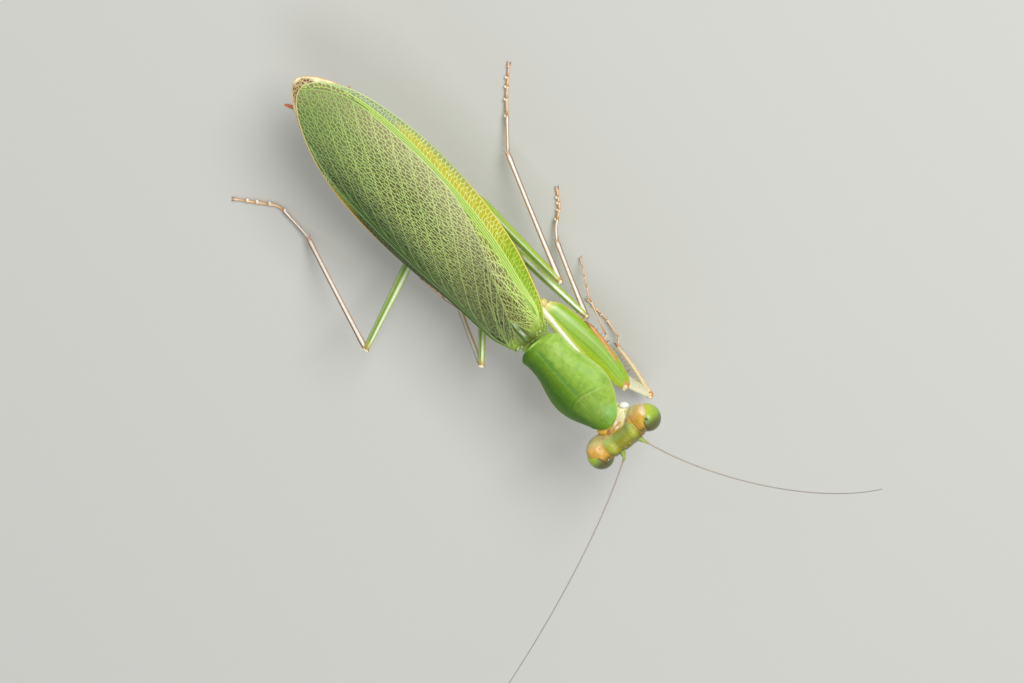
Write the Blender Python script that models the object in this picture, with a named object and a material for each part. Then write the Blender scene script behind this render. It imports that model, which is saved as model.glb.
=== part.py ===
"""A small green mantis, an adult female, standing with her wings folded: a life-size still model.

The body's own frame has X forward from the hind margin of the pronotum, Y to the mantis's left
and Z up from the floor. Sizes are in millimetres until a mesh is made, which is in metres.
"""

import math

import bmesh
import bpy
from mathutils import Matrix, Vector

MM = 0.001

# The gap between two pieces that meet, and the height of the feet's flats.
CUT = 0.05
FLOOR = 0.0

# Pronotum: the shield over the prothorax.
PRONOTUM_LENGTH = 5.42
PRONOTUM_EDGE_Z = 5.85
PRONOTUM_ARCH = 0.80
PRONOTUM_THICKNESS = 0.42
PRONOTUM_PITCH = math.radians(5)
PRONOTUM_YAW = math.radians(2)

# Wing cover: both forewings lie over the abdomen like a low roof.
WING_BASE_X = -0.45
WING_WIDEST_X = -9.8
WING_TIP_X = -17.3
WING_BASE_HALF = 1.38
WING_HALF = 2.78
WING_THICKNESS = 0.45
WING_ROOF_POWER = 2.4
LEFT_TIP_X = -17.22
RIGHT_TIP_X = -17.05
HINDWING_ROOT_X = -9.5
HINDWING_TIP_X = -17.8
HINDWING_HALF = {"left": 1.75, "right": 2.05}

# Cerci: root and tip. The right one is spread wider and shows past the wings.
CERCI = {
    "left": ((-15.55, 0.98, 4.02), (-16.85, 1.12, 4.30)),
    "right": ((-15.50, -1.02, 3.98), (-16.85, -1.98, 4.20)),
}

# Head, in its own frame: X forward, Y left, Z up from the middle of the line between the eyes.
HEAD_CENTRE = Vector((6.28, 0.20, 6.22))
HEAD_YAW = math.radians(-2)
HEAD_PITCH = math.radians(6)
HEAD_SIDE = 1.13
MOUTH_Z = -2.05
EYE_OUT = 2.30
EYE_CENTRE_Y = 1.60
EYE_HALF_DEPTH = 0.70
EYE_HALF_HEIGHT = 0.86

# Feelers: root, two handles and tip of each curve.
FEELER_RADIUS = 0.25
FEELERS = {
    "left": ((6.95, 0.80, 6.22), (10.2, 2.2, 7.0), (14.2, 5.9, 8.1), (15.5, 9.3, 8.6)),
    "right": ((6.92, -0.52, 6.22), (9.0, -3.8, 7.2), (10.9, -9.0, 8.3), (12.0, -12.8, 8.9)),
}

# Joints of each leg: where the coxa leaves the body, hip, knee, ankle, bend of the foot and its tip.
LEGS = {
    "fore_left": (
        (3.25, 0.62, 4.62), (-1.12, 0.88, 3.92), (4.78, 1.08, 4.05), (1.25, 1.76, 3.70),
        (2.45, 2.20, 3.45), (0.45, 2.03, 2.0), (-0.95, 2.27, 0.06),
    ),
    "fore_right": (
        (3.25, -0.62, 4.62), (0.75, -1.25, 2.75), (6.45, 0.55, 1.40), (3.60, 0.75, 0.75),
        (3.35, 1.0, 0.45), (2.3, 1.05, 0.24), (0.9, 1.0, 0.22),
    ),
    "mid_left": (
        (-2.9, 0.72, 2.80), (-3.9, 1.0, 2.30), (0.96, 1.61, 2.90), (-2.46, 2.21, 0.70),
        (-2.62, 2.33, 0.52), (-3.35, 3.0, 0.24), (-4.40, 3.90, 0.22),
    ),
    "mid_right": (
        (-2.9, -0.72, 2.80), (-3.9, -1.0, 2.30), (-0.71, -3.59, 4.60), (-2.85, -4.24, 0.62),
        (-3.02, -4.33, 0.46), (-3.80, -4.66, 0.24), (-5.15, -4.80, 0.22),
    ),
    "hind_left": (
        (-6.3, 0.85, 2.80), (-7.5, 1.35, 2.20), (-1.49, 2.53, 4.40), (-7.47, 3.60, 0.90),
        (-7.66, 3.75, 0.76), (-9.60, 5.35, 0.24), (-10.72, 6.57, 0.22),
    ),
    "hind_right": (
        (-6.3, -0.85, 2.80), (-7.5, -1.45, 2.20), (-4.95, -7.69, 4.40), (-10.45, -7.67, 0.60),
        (-10.70, -7.68, 0.46), (-12.65, -7.78, 0.24), (-14.40, -9.40, 0.22),
    ),
}

# Half thickness of each length of a leg: at its upper end, its belly and its lower end.
COXA_HALF = {"fore": (0.38, 0.34, 0.27), "mid": (0.36, 0.33, 0.28), "hind": (0.38, 0.36, 0.28)}
FEMUR_HALF = {"fore": (0.26, 0.29, 0.22), "mid": (0.25, 0.26, 0.25), "hind": (0.27, 0.27, 0.25)}
FEMUR_DEEP = {"fore": (0.32, 0.56, 0.42), "mid": (0.26, 0.28, 0.25), "hind": (0.30, 0.31, 0.25)}
TIBIA_HALF = {"fore": (0.25, 0.25, 0.20), "mid": (0.25, 0.25, 0.25), "hind": (0.25, 0.25, 0.25)}
FOOT_HALF = 0.26
FOOT_BEADS = 5
BEAD_SWELL = 0.10


def keyed(keys, at):
    """A smooth curve through (place, value) keys in rising order, level beyond its ends."""
    if at <= keys[0][0]:
        return keys[0][1]
    for before, after in zip(keys, keys[1:]):
        if at <= after[0]:
            share = (at - before[0]) / (after[0] - before[0])
            ease = share * share * (3 - 2 * share)
            mixed = 0.5 * (share + ease)
            return before[1] + (after[1] - before[1]) * mixed
    return keys[-1][1]


def spread(first, last, count):
    """Places from first to last, evenly apart."""
    return [first + (last - first) * i / (count - 1) for i in range(count)]


def crowded(first, last, count):
    """Places from first to last, closer together towards the last, for a rounded tip."""
    return [first + (last - first) * math.sin(i / (count - 1) * math.pi / 2) for i in range(count)]


def superellipse(angle, power):
    """A point on a unit superellipse; power 2 is a circle and more is squarer."""
    across, up = math.cos(angle), math.sin(angle)
    return (
        math.copysign(abs(across) ** (2 / power), across),
        math.copysign(abs(up) ** (2 / power), up),
    )


def closed_loft(rings):
    """A bmesh that skins the rings, each a list of as many points, and caps both ends."""
    bm = bmesh.new()
    loops = [[bm.verts.new(point) for point in ring] for ring in rings]
    for near, far in zip(loops, loops[1:]):
        for i in range(len(near)):
            j = (i + 1) % len(near)
            bm.faces.new((near[i], near[j], far[j], far[i]))
    bm.faces.new(loops[0])
    bm.faces.new(loops[-1])
    return bm


def trim(bm, point, outward):
    """Cuts the mesh at a plane, clears what lies beyond it and closes the cut."""
    everything = bm.verts[:] + bm.edges[:] + bm.faces[:]
    bmesh.ops.bisect_plane(
        bm, geom=everything, plane_co=point, plane_no=outward, clear_outer=True, dist=1e-6
    )
    rim = [edge for edge in bm.edges if edge.is_boundary]
    bmesh.ops.edgeloop_fill(bm, edges=rim)


def cuticle(name, colour, roughness):
    """The material of one piece."""
    material = bpy.data.materials.new(name)
    material.use_nodes = True
    surface = material.node_tree.nodes["Principled BSDF"]
    surface.inputs["Base Color"].default_value = (*colour, 1)
    surface.inputs["Roughness"].default_value = roughness
    surface.inputs["Metallic"].default_value = 0
    return material


def finish(bm, name, colour, roughness=0.45):
    """Turns a bmesh in millimetres into a named object in metres, shaded smooth."""
    bmesh.ops.recalc_face_normals(bm, faces=bm.faces[:])
    bmesh.ops.triangulate(bm, faces=bm.faces[:])
    bmesh.ops.scale(bm, vec=(MM, MM, MM), verts=bm.verts[:])
    mesh = bpy.data.meshes.new(name)
    bm.to_mesh(mesh)
    bm.free()
    mesh.shade_smooth()
    mesh.set_sharp_from_angle(angle=math.radians(50))
    mesh.materials.append(cuticle(name, colour, roughness))
    made = bpy.data.objects.new(name, mesh)
    bpy.context.scene.collection.objects.link(made)
    return made


def clear_scene():
    for old in list(bpy.data.objects):
        bpy.data.objects.remove(old)


# Wings ------------------------------------------------------------------------------------------


def wing_half(x):
    """Half the width of the folded wing cover."""
    if x < WING_WIDEST_X:
        back = (WING_WIDEST_X - x) / (WING_WIDEST_X - WING_TIP_X)
        return WING_HALF * max(1 - back**2.2, 0) ** 0.58
    forward = (WING_BASE_X - x) / (WING_BASE_X - WING_WIDEST_X)
    return WING_BASE_HALF + (WING_HALF - WING_BASE_HALF) * math.sin(max(forward, 0) * math.pi / 2)


def wing_edge_z(x):
    """Height of the wing cover's side edges: low at the middle, high at the hinge and the tip."""
    return keyed(((-17.3, 5.62), (-13.9, 5.41), (-10.2, 5.06), (-5.2, 4.93), (-3.9, 5.06), (-0.7, 6.04)), x)


def wing_crest_z(x):
    return keyed(((-17.3, 5.80), (-13.0, 5.98), (-7.0, 6.08), (-0.4, 6.48)), x)


def wing_top(x, y):
    """The roof of the wing cover: nearly flat on top, bent down at the sides."""
    side = min(abs(y) / max(wing_half(x), 0.25), 1)
    return wing_edge_z(x) + (wing_crest_z(x) - wing_edge_z(x)) * (1 - side**WING_ROOF_POWER)


def seam(x):
    """Where the right forewing's hind margin lies on the left one: it runs out over the left side."""
    return keyed(((-17.3, 0.15), (-16.2, 1.05), (-13.9, 1.85), (-10.2, 2.17), (-7.2, 1.95), (-1.9, 0.0)), x)


def inner_margin(x):
    """Inner edge of a forewing in front, beside the triangle of the mesonotum."""
    return 0.62 * max(1 + (x - WING_BASE_X) / 1.45, 0)


def plate(places, inner, outer, top, thickness, steps=7):
    """A closed curved plate between two edges, given at each place along X."""
    rings = []
    for x in places:
        sides = spread(inner(x), outer(x), steps)
        above = [(x, y, top(x, y)) for y in sides]
        below = [(x, y, top(x, y) - thickness) for y in reversed(sides)]
        rings.append(above + below)
    return closed_loft(rings)


def make_forewings():
    green = (0.16, 0.32, 0.07)
    left = plate(
        crowded(WING_BASE_X, LEFT_TIP_X, 22),
        lambda x: max(seam(x), inner_margin(x)) + CUT,
        lambda x: max(wing_half(x), seam(x) + 4 * CUT),
        wing_top,
        WING_THICKNESS,
        steps=5,
    )
    finish(left, "tegmen_left", green)
    right = plate(
        crowded(WING_BASE_X, RIGHT_TIP_X, 22),
        lambda x: seam(x) if seam(x) > 0.01 else -inner_margin(x) - CUT,
        lambda x: -wing_half(x),
        wing_top,
        WING_THICKNESS,
        steps=9,
    )
    finish(right, "tegmen_right", green)


def hindwing_half(x, widest):
    back = (HINDWING_ROOT_X - x) / (HINDWING_ROOT_X - HINDWING_TIP_X)
    return widest * max(1 - back**2.6, 0) ** 0.62 + 0.12


def make_hindwings():
    def top(x, y):
        return wing_top(x, y) - WING_THICKNESS - CUT

    for side, sign in (("left", 1), ("right", -1)):
        bm = plate(
            crowded(HINDWING_ROOT_X, HINDWING_TIP_X, 14),
            lambda x: sign * CUT / 2,
            lambda x: sign * (hindwing_half(x, HINDWING_HALF[side]) + CUT / 2),
            top,
            WING_THICKNESS,
            steps=5,
        )
        finish(bm, f"hindwing_{side}", (0.35, 0.26, 0.12))


# Trunk ------------------------------------------------------------------------------------------


def trunk_rings(places, half, bottom, top, sides=16, power=2.5):
    """Upright rings of a trunk length, each between its own bottom and top."""
    rings = []
    for x in places:
        middle, tall = (top(x) + bottom(x)) / 2, (top(x) - bottom(x)) / 2
        turn = [superellipse(2 * math.pi * i / sides, power) for i in range(sides)]
        rings.append([(x, half(x) * across, middle + tall * up) for across, up in turn])
    return rings


def make_thorax():
    green = (0.22, 0.36, 0.10)
    places = spread(-0.12, -4.6, 9)
    bm = closed_loft(
        trunk_rings(
            places,
            lambda x: keyed(((-4.6, 1.55), (-2.5, 1.45), (-0.1, 0.70)), x),
            lambda x: keyed(((-4.6, 2.85), (-3.0, 2.85), (-2.0, 3.45), (-1.3, 4.30), (-0.1, 4.75)), x),
            lambda x: keyed(((-4.6, 5.30), (-2.5, 5.40), (-0.1, 5.90)), x),
        )
    )
    finish(bm, "mesothorax", green)
    bm = closed_loft(
        trunk_rings(
            spread(-4.6 - CUT, -8.4, 7),
            lambda x: keyed(((-8.4, 1.60), (-6.5, 1.62), (-4.6, 1.55)), x),
            lambda x: keyed(((-8.4, 2.80), (-4.6, 2.85)), x),
            lambda x: keyed(((-8.4, 4.95), (-4.6, 5.30)), x),
        )
    )
    finish(bm, "metathorax", green)


def make_mesonotum():
    """The triangle between the wing hinges."""
    bm = plate(
        spread(-0.06, -1.75, 7),
        lambda x: -max(inner_margin(x) - CUT, 0.06),
        lambda x: max(inner_margin(x) - CUT, 0.06),
        lambda x, y: wing_crest_z(x) + 0.02 - 0.1 * y * y,
        0.50,
        steps=5,
    )
    finish(bm, "mesonotum", (0.20, 0.36, 0.10))


def make_abdomen():
    bm = closed_loft(
        trunk_rings(
            crowded(-8.4 - CUT, -15.9, 13),
            lambda x: keyed(((-15.9, 0.45), (-15.2, 1.05), (-13.2, 1.72), (-11.0, 1.95), (-8.4, 1.62)), x),
            lambda x: keyed(((-15.9, 3.75), (-15.2, 3.35), (-13.2, 2.75), (-11.0, 2.50), (-8.4, 2.75)), x),
            lambda x: keyed(((-15.9, 4.35), (-15.2, 4.50), (-8.4, 4.60)), x),
            sides=16,
            power=2.3,
        )
    )
    finish(bm, "abdomen", (0.30, 0.42, 0.14))


def prothorax_frame():
    """The pronotum's frame: raised a little in front and turned a little to the left."""
    turn = Matrix.Rotation(PRONOTUM_YAW, 4, "Z") @ Matrix.Rotation(-PRONOTUM_PITCH, 4, "Y")
    return Matrix.Translation((0, 0, PRONOTUM_EDGE_Z)) @ turn


def pronotum_half(u):
    """Half the pronotum's width: a waist behind, widest at the fore coxae, rounded in front."""
    body = keyed(((0, 1.02), (0.4, 1.25), (1.2, 1.28), (3.0, 1.66), (4.4, 1.30), (5.0, 1.02)), u)
    front = max(PRONOTUM_LENGTH + 0.04 - u, 0)
    return body * min(math.sqrt(front / 1.0), 1)


def pronotum_top(u, v):
    arch = PRONOTUM_ARCH * keyed(((0, 0.95), (2.8, 1.0), (4.4, 0.86), (PRONOTUM_LENGTH, 0.40)), u)
    return arch * (1 - min(abs(v) / pronotum_half(u), 1) ** 2.2)


def make_pronotum():
    bm = plate(
        crowded(0, PRONOTUM_LENGTH, 18),
        lambda u: -pronotum_half(u),
        pronotum_half,
        pronotum_top,
        PRONOTUM_THICKNESS,
        steps=9,
    )
    bm.transform(prothorax_frame())
    finish(bm, "pronotum", (0.20, 0.42, 0.08))


def make_prothorax():
    bm = closed_loft(
        trunk_rings(
            spread(-0.02, 5.0, 9),
            lambda u: keyed(((0, 0.62), (1.5, 0.62), (3.2, 1.02), (5.0, 0.66)), u),
            lambda u: keyed(((0, -0.95), (1.5, -0.95), (3.2, -1.28), (5.0, -0.62)), u),
            lambda u: keyed(((0, 0.10), (3.0, 0.18), (5.0, -0.02)), u),
            power=2.2,
        )
    )
    bm.transform(prothorax_frame())
    finish(bm, "prothorax", (0.34, 0.46, 0.16))


# Limbs and feelers ------------------------------------------------------------------------------


def cross_frame(along, flat):
    """Two unit directions across a limb: the flat one, as near to the wish as can be, and the other."""
    along = along.normalized()
    wide = (flat - flat.dot(along) * along).normalized()
    return wide, along.cross(wide)


def tube(path, half_wide, half_deep, flat=Vector((0, 0, 1)), sides=10):
    """A closed tube of elliptic rings along the path; half_deep lies along the flat direction."""
    rings = []
    for i, point in enumerate(path):
        along = path[min(i + 1, len(path) - 1)] - path[max(i - 1, 0)]
        deep, wide = cross_frame(along, flat)
        share = i / (len(path) - 1)
        ring = []
        for k in range(sides):
            turn = 2 * math.pi * k / sides
            ring.append(point + deep * half_deep(share) * math.cos(turn) + wide * half_wide(share) * math.sin(turn))
        rings.append(ring)
    return closed_loft(rings)


def rounded(sizes, ends=0.10):
    """A half size along a limb from its upper end, belly and lower end, with both ends rounded off."""

    def size(share):
        body = keyed(((0, sizes[0]), (0.3, sizes[1]), (1, sizes[2])), share)
        near = min(share, 1 - share) / ends
        return body * (0.55 + 0.45 * math.sin(min(near, 1) * math.pi / 2))

    return size


def straight(start, end, count, beyond=0.0):
    """Points from start to end, carried a little beyond both, closer together at the ends."""
    along = (end - start).normalized() * beyond
    start, end = start - along, end + along
    shares = [0.5 - 0.5 * math.cos(math.pi * i / (count - 1)) for i in range(count)]
    return [start.lerp(end, share) for share in shares]


def bisector(joint, before, after):
    """The plane that halves the bend at a joint, as a point and the way towards the length after it."""
    inward = (before - joint).normalized()
    outward = (after - joint).normalized()
    return joint, (outward - inward).normalized()


def cut_at_joint(bm, joint, before, after, keeps_before):
    point, towards_after = bisector(joint, before, after)
    if keeps_before:
        trim(bm, point - towards_after * CUT / 2, towards_after)
    else:
        trim(bm, point + towards_after * CUT / 2, -towards_after)


def bezier(points, share):
    a, b, c, d = (Vector(point) for point in points)
    rest = 1 - share
    return a * rest**3 + b * 3 * rest**2 * share + c * 3 * rest * share**2 + d * share**3


def make_leg(name, joints):
    pair = name.split("_")[0]
    root, hip, knee, ankle, heel, bend, toe = (Vector(joint) for joint in joints)
    # The fore femur is a blade whose lower, biting edge is turned outwards and down.
    flat = Vector((0, 0.906, -0.423)) if name == "fore_left" else Vector((0, 0, 1))

    coxa = tube(straight(root, hip, 9, 0.12), rounded(COXA_HALF[pair]), rounded(COXA_HALF[pair]), flat)
    cut_at_joint(coxa, hip, root, knee, True)
    if pair == "fore":
        trim(coxa, Vector((0, 0, 4.56)), Vector((-0.09, 0, 1)))
    else:
        trim(coxa, Vector((0, 0, 2.78)), Vector((0, 0, 1)))
    finish(coxa, f"coxa_{name}", (0.38, 0.55, 0.20))

    femur = tube(
        straight(hip, knee, 11, 0.16), rounded(FEMUR_HALF[pair], 0.06), rounded(FEMUR_DEEP[pair], 0.06), flat
    )
    cut_at_joint(femur, hip, root, knee, False)
    cut_at_joint(femur, knee, hip, ankle, True)
    finish(femur, f"femur_{name}", (0.28, 0.50, 0.12))

    tibia = tube(
        straight(knee, ankle, 11, 0.12), rounded(TIBIA_HALF[pair], 0.05), rounded(TIBIA_HALF[pair], 0.05), flat
    )
    cut_at_joint(tibia, knee, hip, ankle, False)
    if pair != "fore":
        cut_at_joint(tibia, ankle, knee, heel, True)
    finish(tibia, f"tibia_{name}", (0.62, 0.60, 0.40))

    make_foot(f"tarsus_{name}", ankle, heel, bend, toe, pair == "fore")


def make_foot(name, ankle, heel, bend, toe, free):
    """The five-beaded foot: it comes down to the floor at its bend and lies flat on it from there."""
    top = heel if free else ankle - (heel - ankle)
    down = [top.lerp(bend, share) for share in spread(0, 0.9, 7)]
    along = [bend.lerp(toe, share) for share in spread(0.12, 1, 9)]

    def half(share):
        bead = abs(math.sin(share * FOOT_BEADS * math.pi))
        tip = min((1 - share) / 0.05, 1)
        return FOOT_HALF * (1 - BEAD_SWELL + BEAD_SWELL * bead) * (0.6 + 0.4 * tip)

    bm = tube(down + along, half, half, sides=8)
    if not free:
        outward = (heel - ankle).normalized()
        trim(bm, ankle + outward * CUT / 2, -outward)
    for vertex in bm.verts:
        vertex.co.z = max(vertex.co.z, FLOOR)
    finish(bm, name, (0.60, 0.40, 0.22))


def make_feelers():
    for side, points in FEELERS.items():
        path = [bezier(points, share) for share in spread(0, 1, 22)]

        def half(share):
            return FEELER_RADIUS * (1.0 if share < 0.97 else 0.8)

        finish(tube(path, half, half, sides=8), f"antenna_{side}", (0.45, 0.40, 0.32))


def make_cerci():
    for side, (root, tip) in CERCI.items():
        path = straight(Vector(root), Vector(tip), 7)
        taper = rounded((0.26, 0.26, 0.22), 0.15)
        finish(tube(path, taper, taper, sides=8), f"cercus_{side}", (0.60, 0.45, 0.20))


# Head -------------------------------------------------------------------------------------------


def head_frame():
    turn = Matrix.Rotation(HEAD_YAW, 4, "Z") @ Matrix.Rotation(-HEAD_PITCH, 4, "Y")
    return Matrix.Translation(HEAD_CENTRE) @ turn


def head_top(y):
    """The vertex: nearly straight, with a low bulge beside each eye."""
    side = abs(y) / HEAD_SIDE
    return 0.56 + 0.10 * math.exp(-(((side - 0.72) / 0.16) ** 2))


def head_bottom(y):
    """The face narrows to the mouth."""
    return keyed(((0, -2.20), (0.40, -2.12), (0.75, -1.30), (HEAD_SIDE, -0.72)), abs(y))


def head_half_depth(y):
    return keyed(((0, 0.52), (0.45, 0.54), (0.85, 0.60), (HEAD_SIDE, 0.56)), abs(y))


def make_head():
    rings = []
    for y in spread(-HEAD_SIDE, HEAD_SIDE, 15):
        middle, tall = (head_top(y) + head_bottom(y)) / 2, (head_top(y) - head_bottom(y)) / 2
        deep = head_half_depth(y)
        turn = [superellipse(2 * math.pi * i / 20, 2.3) for i in range(20)]
        rings.append([(deep * across, y, middle + tall * up) for across, up in turn])
    bm = closed_loft(rings)
    trim(bm, Vector((0, 0, MOUTH_Z)), Vector((0, 0, -1)))
    bm.transform(head_frame())
    finish(bm, "head", (0.40, 0.46, 0.10))


def make_eyes():
    for side, sign in (("left", 1), ("right", -1)):
        rings = []
        inner = HEAD_SIDE + CUT
        for share in spread(0, 1, 9):
            y = inner + (EYE_OUT - inner) * math.sin(share * math.pi / 2)
            out = (y - EYE_CENTRE_Y) / (EYE_OUT + 0.01 - EYE_CENTRE_Y)
            round_off = math.sqrt(max(1 - out * out, 0))
            turn = [2 * math.pi * i / 14 for i in range(14)]
            rings.append(
                [
                    (
                        EYE_HALF_DEPTH * round_off * math.cos(a),
                        sign * y,
                        EYE_HALF_HEIGHT * round_off * math.sin(a) - 0.06,
                    )
                    for a in turn
                ]
            )
        bm = closed_loft(rings)
        bm.transform(head_frame())
        finish(bm, f"eye_{side}", (0.42, 0.55, 0.12), 0.15)


def make_mouthparts():
    """Upper lip, jaws and feelers of the mouth, as one tapered piece under the face."""
    rings = []
    for share in spread(0, 1, 6):
        z = MOUTH_Z - CUT - 0.62 * share
        wide, deep = 0.46 - 0.20 * share * share, 0.42 - 0.16 * share
        turn = [2 * math.pi * i / 12 for i in range(12)]
        rings.append([(deep * math.cos(a) - 0.04 * share, wide * math.sin(a), z) for a in turn])
    bm = closed_loft(rings)
    bm.transform(head_frame())
    finish(bm, "mouthparts", (0.40, 0.50, 0.18))


def make_neck():
    """The soft neck between the prothorax and the back of the head."""
    front, back = Vector((5.66, 0.19, 5.82)), Vector((5.08, 0.17, 5.64))
    bm = tube(straight(back, front, 6), rounded((0.52, 0.50, 0.50), 0.2), rounded((0.40, 0.40, 0.40), 0.2), sides=12)
    finish(bm, "neck", (0.70, 0.50, 0.22))


def settle():
    """Puts the middle of the model's box over the origin, with the feet on the floor."""
    bpy.context.view_layer.update()
    made = [item for item in bpy.data.objects if item.type == "MESH"]
    corners = [item.matrix_world @ Vector(corner) for item in made for corner in item.bound_box]
    middle = [(min(c[axis] for c in corners) + max(c[axis] for c in corners)) / 2 for axis in (0, 1)]
    body = bpy.data.objects.new("mantis", None)
    bpy.context.scene.collection.objects.link(body)
    for item in made:
        item.parent = body
    body.location = (-middle[0], -middle[1], 0)


def main():
    clear_scene()
    make_pronotum()
    make_prothorax()
    make_thorax()
    make_mesonotum()
    make_abdomen()
    make_cerci()
    make_forewings()
    make_hindwings()
    make_head()
    make_eyes()
    make_mouthparts()
    make_neck()
    make_feelers()
    for name, joints in LEGS.items():
        make_leg(name, joints)
    settle()


main()
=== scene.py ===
import math
import random

import bmesh
import bpy
import numpy as np
from mathutils import Matrix, Vector, noise
from mathutils.geometry import delaunay_2d_cdt
from mathutils.kdtree import KDTree


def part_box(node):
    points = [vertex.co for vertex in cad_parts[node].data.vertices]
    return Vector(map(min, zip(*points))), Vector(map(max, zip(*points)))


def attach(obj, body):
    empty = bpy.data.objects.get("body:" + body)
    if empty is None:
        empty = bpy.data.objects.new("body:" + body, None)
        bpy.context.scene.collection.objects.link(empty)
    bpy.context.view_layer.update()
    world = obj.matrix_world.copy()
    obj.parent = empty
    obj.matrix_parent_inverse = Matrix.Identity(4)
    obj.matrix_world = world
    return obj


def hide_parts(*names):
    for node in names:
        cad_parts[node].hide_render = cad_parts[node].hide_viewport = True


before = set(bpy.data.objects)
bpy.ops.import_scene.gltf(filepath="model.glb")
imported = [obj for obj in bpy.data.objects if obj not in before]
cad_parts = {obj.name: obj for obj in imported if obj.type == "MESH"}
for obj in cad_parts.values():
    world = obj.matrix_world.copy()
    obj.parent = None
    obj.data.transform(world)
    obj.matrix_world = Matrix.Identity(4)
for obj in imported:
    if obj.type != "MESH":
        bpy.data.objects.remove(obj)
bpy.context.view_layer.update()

MM = 0.001
UP = Vector((0, 0, 1))
CHANCE = random.Random(20)

# The body's own frame, in millimetres: X forward from the pronotum's hind margin, Y left, Z up from
# the floor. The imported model's left hindwing says where that frame lies in the shared one.
HINDWING_TIP_X = -17.8
HINDWING_INNER_Y = 0.025
HIND_END_X = -17.62
LOW_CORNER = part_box("hindwing_left")[0]
SHIFT = Vector((LOW_CORNER.x / MM - HINDWING_TIP_X, LOW_CORNER.y / MM - HINDWING_INNER_Y, 0))


# Curves and colours -----------------------------------------------------------------------------


def srgb(red, green, blue):
    """A colour as a screen shows it, 0 to 255, turned into linear light."""
    shares = (red / 255, green / 255, blue / 255)
    return Vector([s / 12.92 if s <= 0.04 else ((s + 0.055) / 1.055) ** 2.4 for s in shares])


def curve(keys, at):
    """A smooth curve through (place, value) keys in rising order, level beyond its ends."""
    if at <= keys[0][0]:
        return keys[0][1]
    if at >= keys[-1][0]:
        return keys[-1][1]
    i = next(n for n in range(len(keys) - 1) if at <= keys[n + 1][0])
    (x0, y0), (x1, y1) = keys[i], keys[i + 1]
    step = x1 - x0

    def slope(n):
        if n in (0, len(keys) - 1):
            return y0 * 0
        return (keys[n + 1][1] - keys[n - 1][1]) / (keys[n + 1][0] - keys[n - 1][0])

    t = (at - x0) / step
    rise = 3 * t * t - 2 * t**3
    return (
        y0 * (1 - rise)
        + y1 * rise
        + slope(i) * step * (t**3 - 2 * t * t + t)
        + slope(i + 1) * step * (t**3 - t * t)
    )


def ramp(low, high, at):
    """0 below low, 1 above high, smooth between; low may be the greater."""
    t = min(max((at - low) / (high - low), 0), 1)
    return t * t * (3 - 2 * t)


def bell(at, centre, width):
    return math.exp(-(((at - centre) / width) ** 2))


def mix(a, b, share):
    return a + (b - a) * share


def spread(first, last, count):
    return [first + (last - first) * i / (count - 1) for i in range(count)]


def run(start, end, count, bow=None):
    """Points from start to end, bowed by the vector bow at the middle."""
    bow = bow or Vector((0, 0, 0))
    return [start.lerp(end, s) + bow * 4 * s * (1 - s) for s in spread(0, 1, count)]


def eased(first, last, count, start=True):
    """Places from first to last, closer together at the last one and, with start, at the first one too."""
    if start:
        shares = [0.5 - 0.5 * math.cos(math.pi * i / (count - 1)) for i in range(count)]
    else:
        shares = [math.sin(math.pi / 2 * i / (count - 1)) for i in range(count)]
    return [first + (last - first) * share for share in shares]


def bezier(points, share):
    a, b, c, d = (Vector(point) for point in points)
    rest = 1 - share
    return a * rest**3 + b * 3 * rest**2 * share + c * 3 * rest * share**2 + d * share**3


CREAM = srgb(232, 232, 190)
WHITE = srgb(244, 244, 226)
RUST = srgb(150, 88, 42)
DARK = srgb(62, 40, 26)


def layered(toned, *layers):
    """A colour with others laid over it in turn, each with its share. One given as a tuple is
    (red, green, blue) as a screen shows it."""
    for colour, share in layers:
        toned = mix(toned, srgb(*colour) if isinstance(colour, tuple) else colour, share)
    return toned


def shades(*keys):
    """Keys for curve() from (place, red, green, blue)."""
    return tuple((place, srgb(*colour)) for place, *colour in keys)


def palette(**colours):
    return {name: srgb(*colour) for name, colour in colours.items()}


def given(value):
    """The value as a function of anything, or the value itself where it is a function."""
    return value if callable(value) else lambda *_: value


# Meshes -----------------------------------------------------------------------------------------


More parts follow.
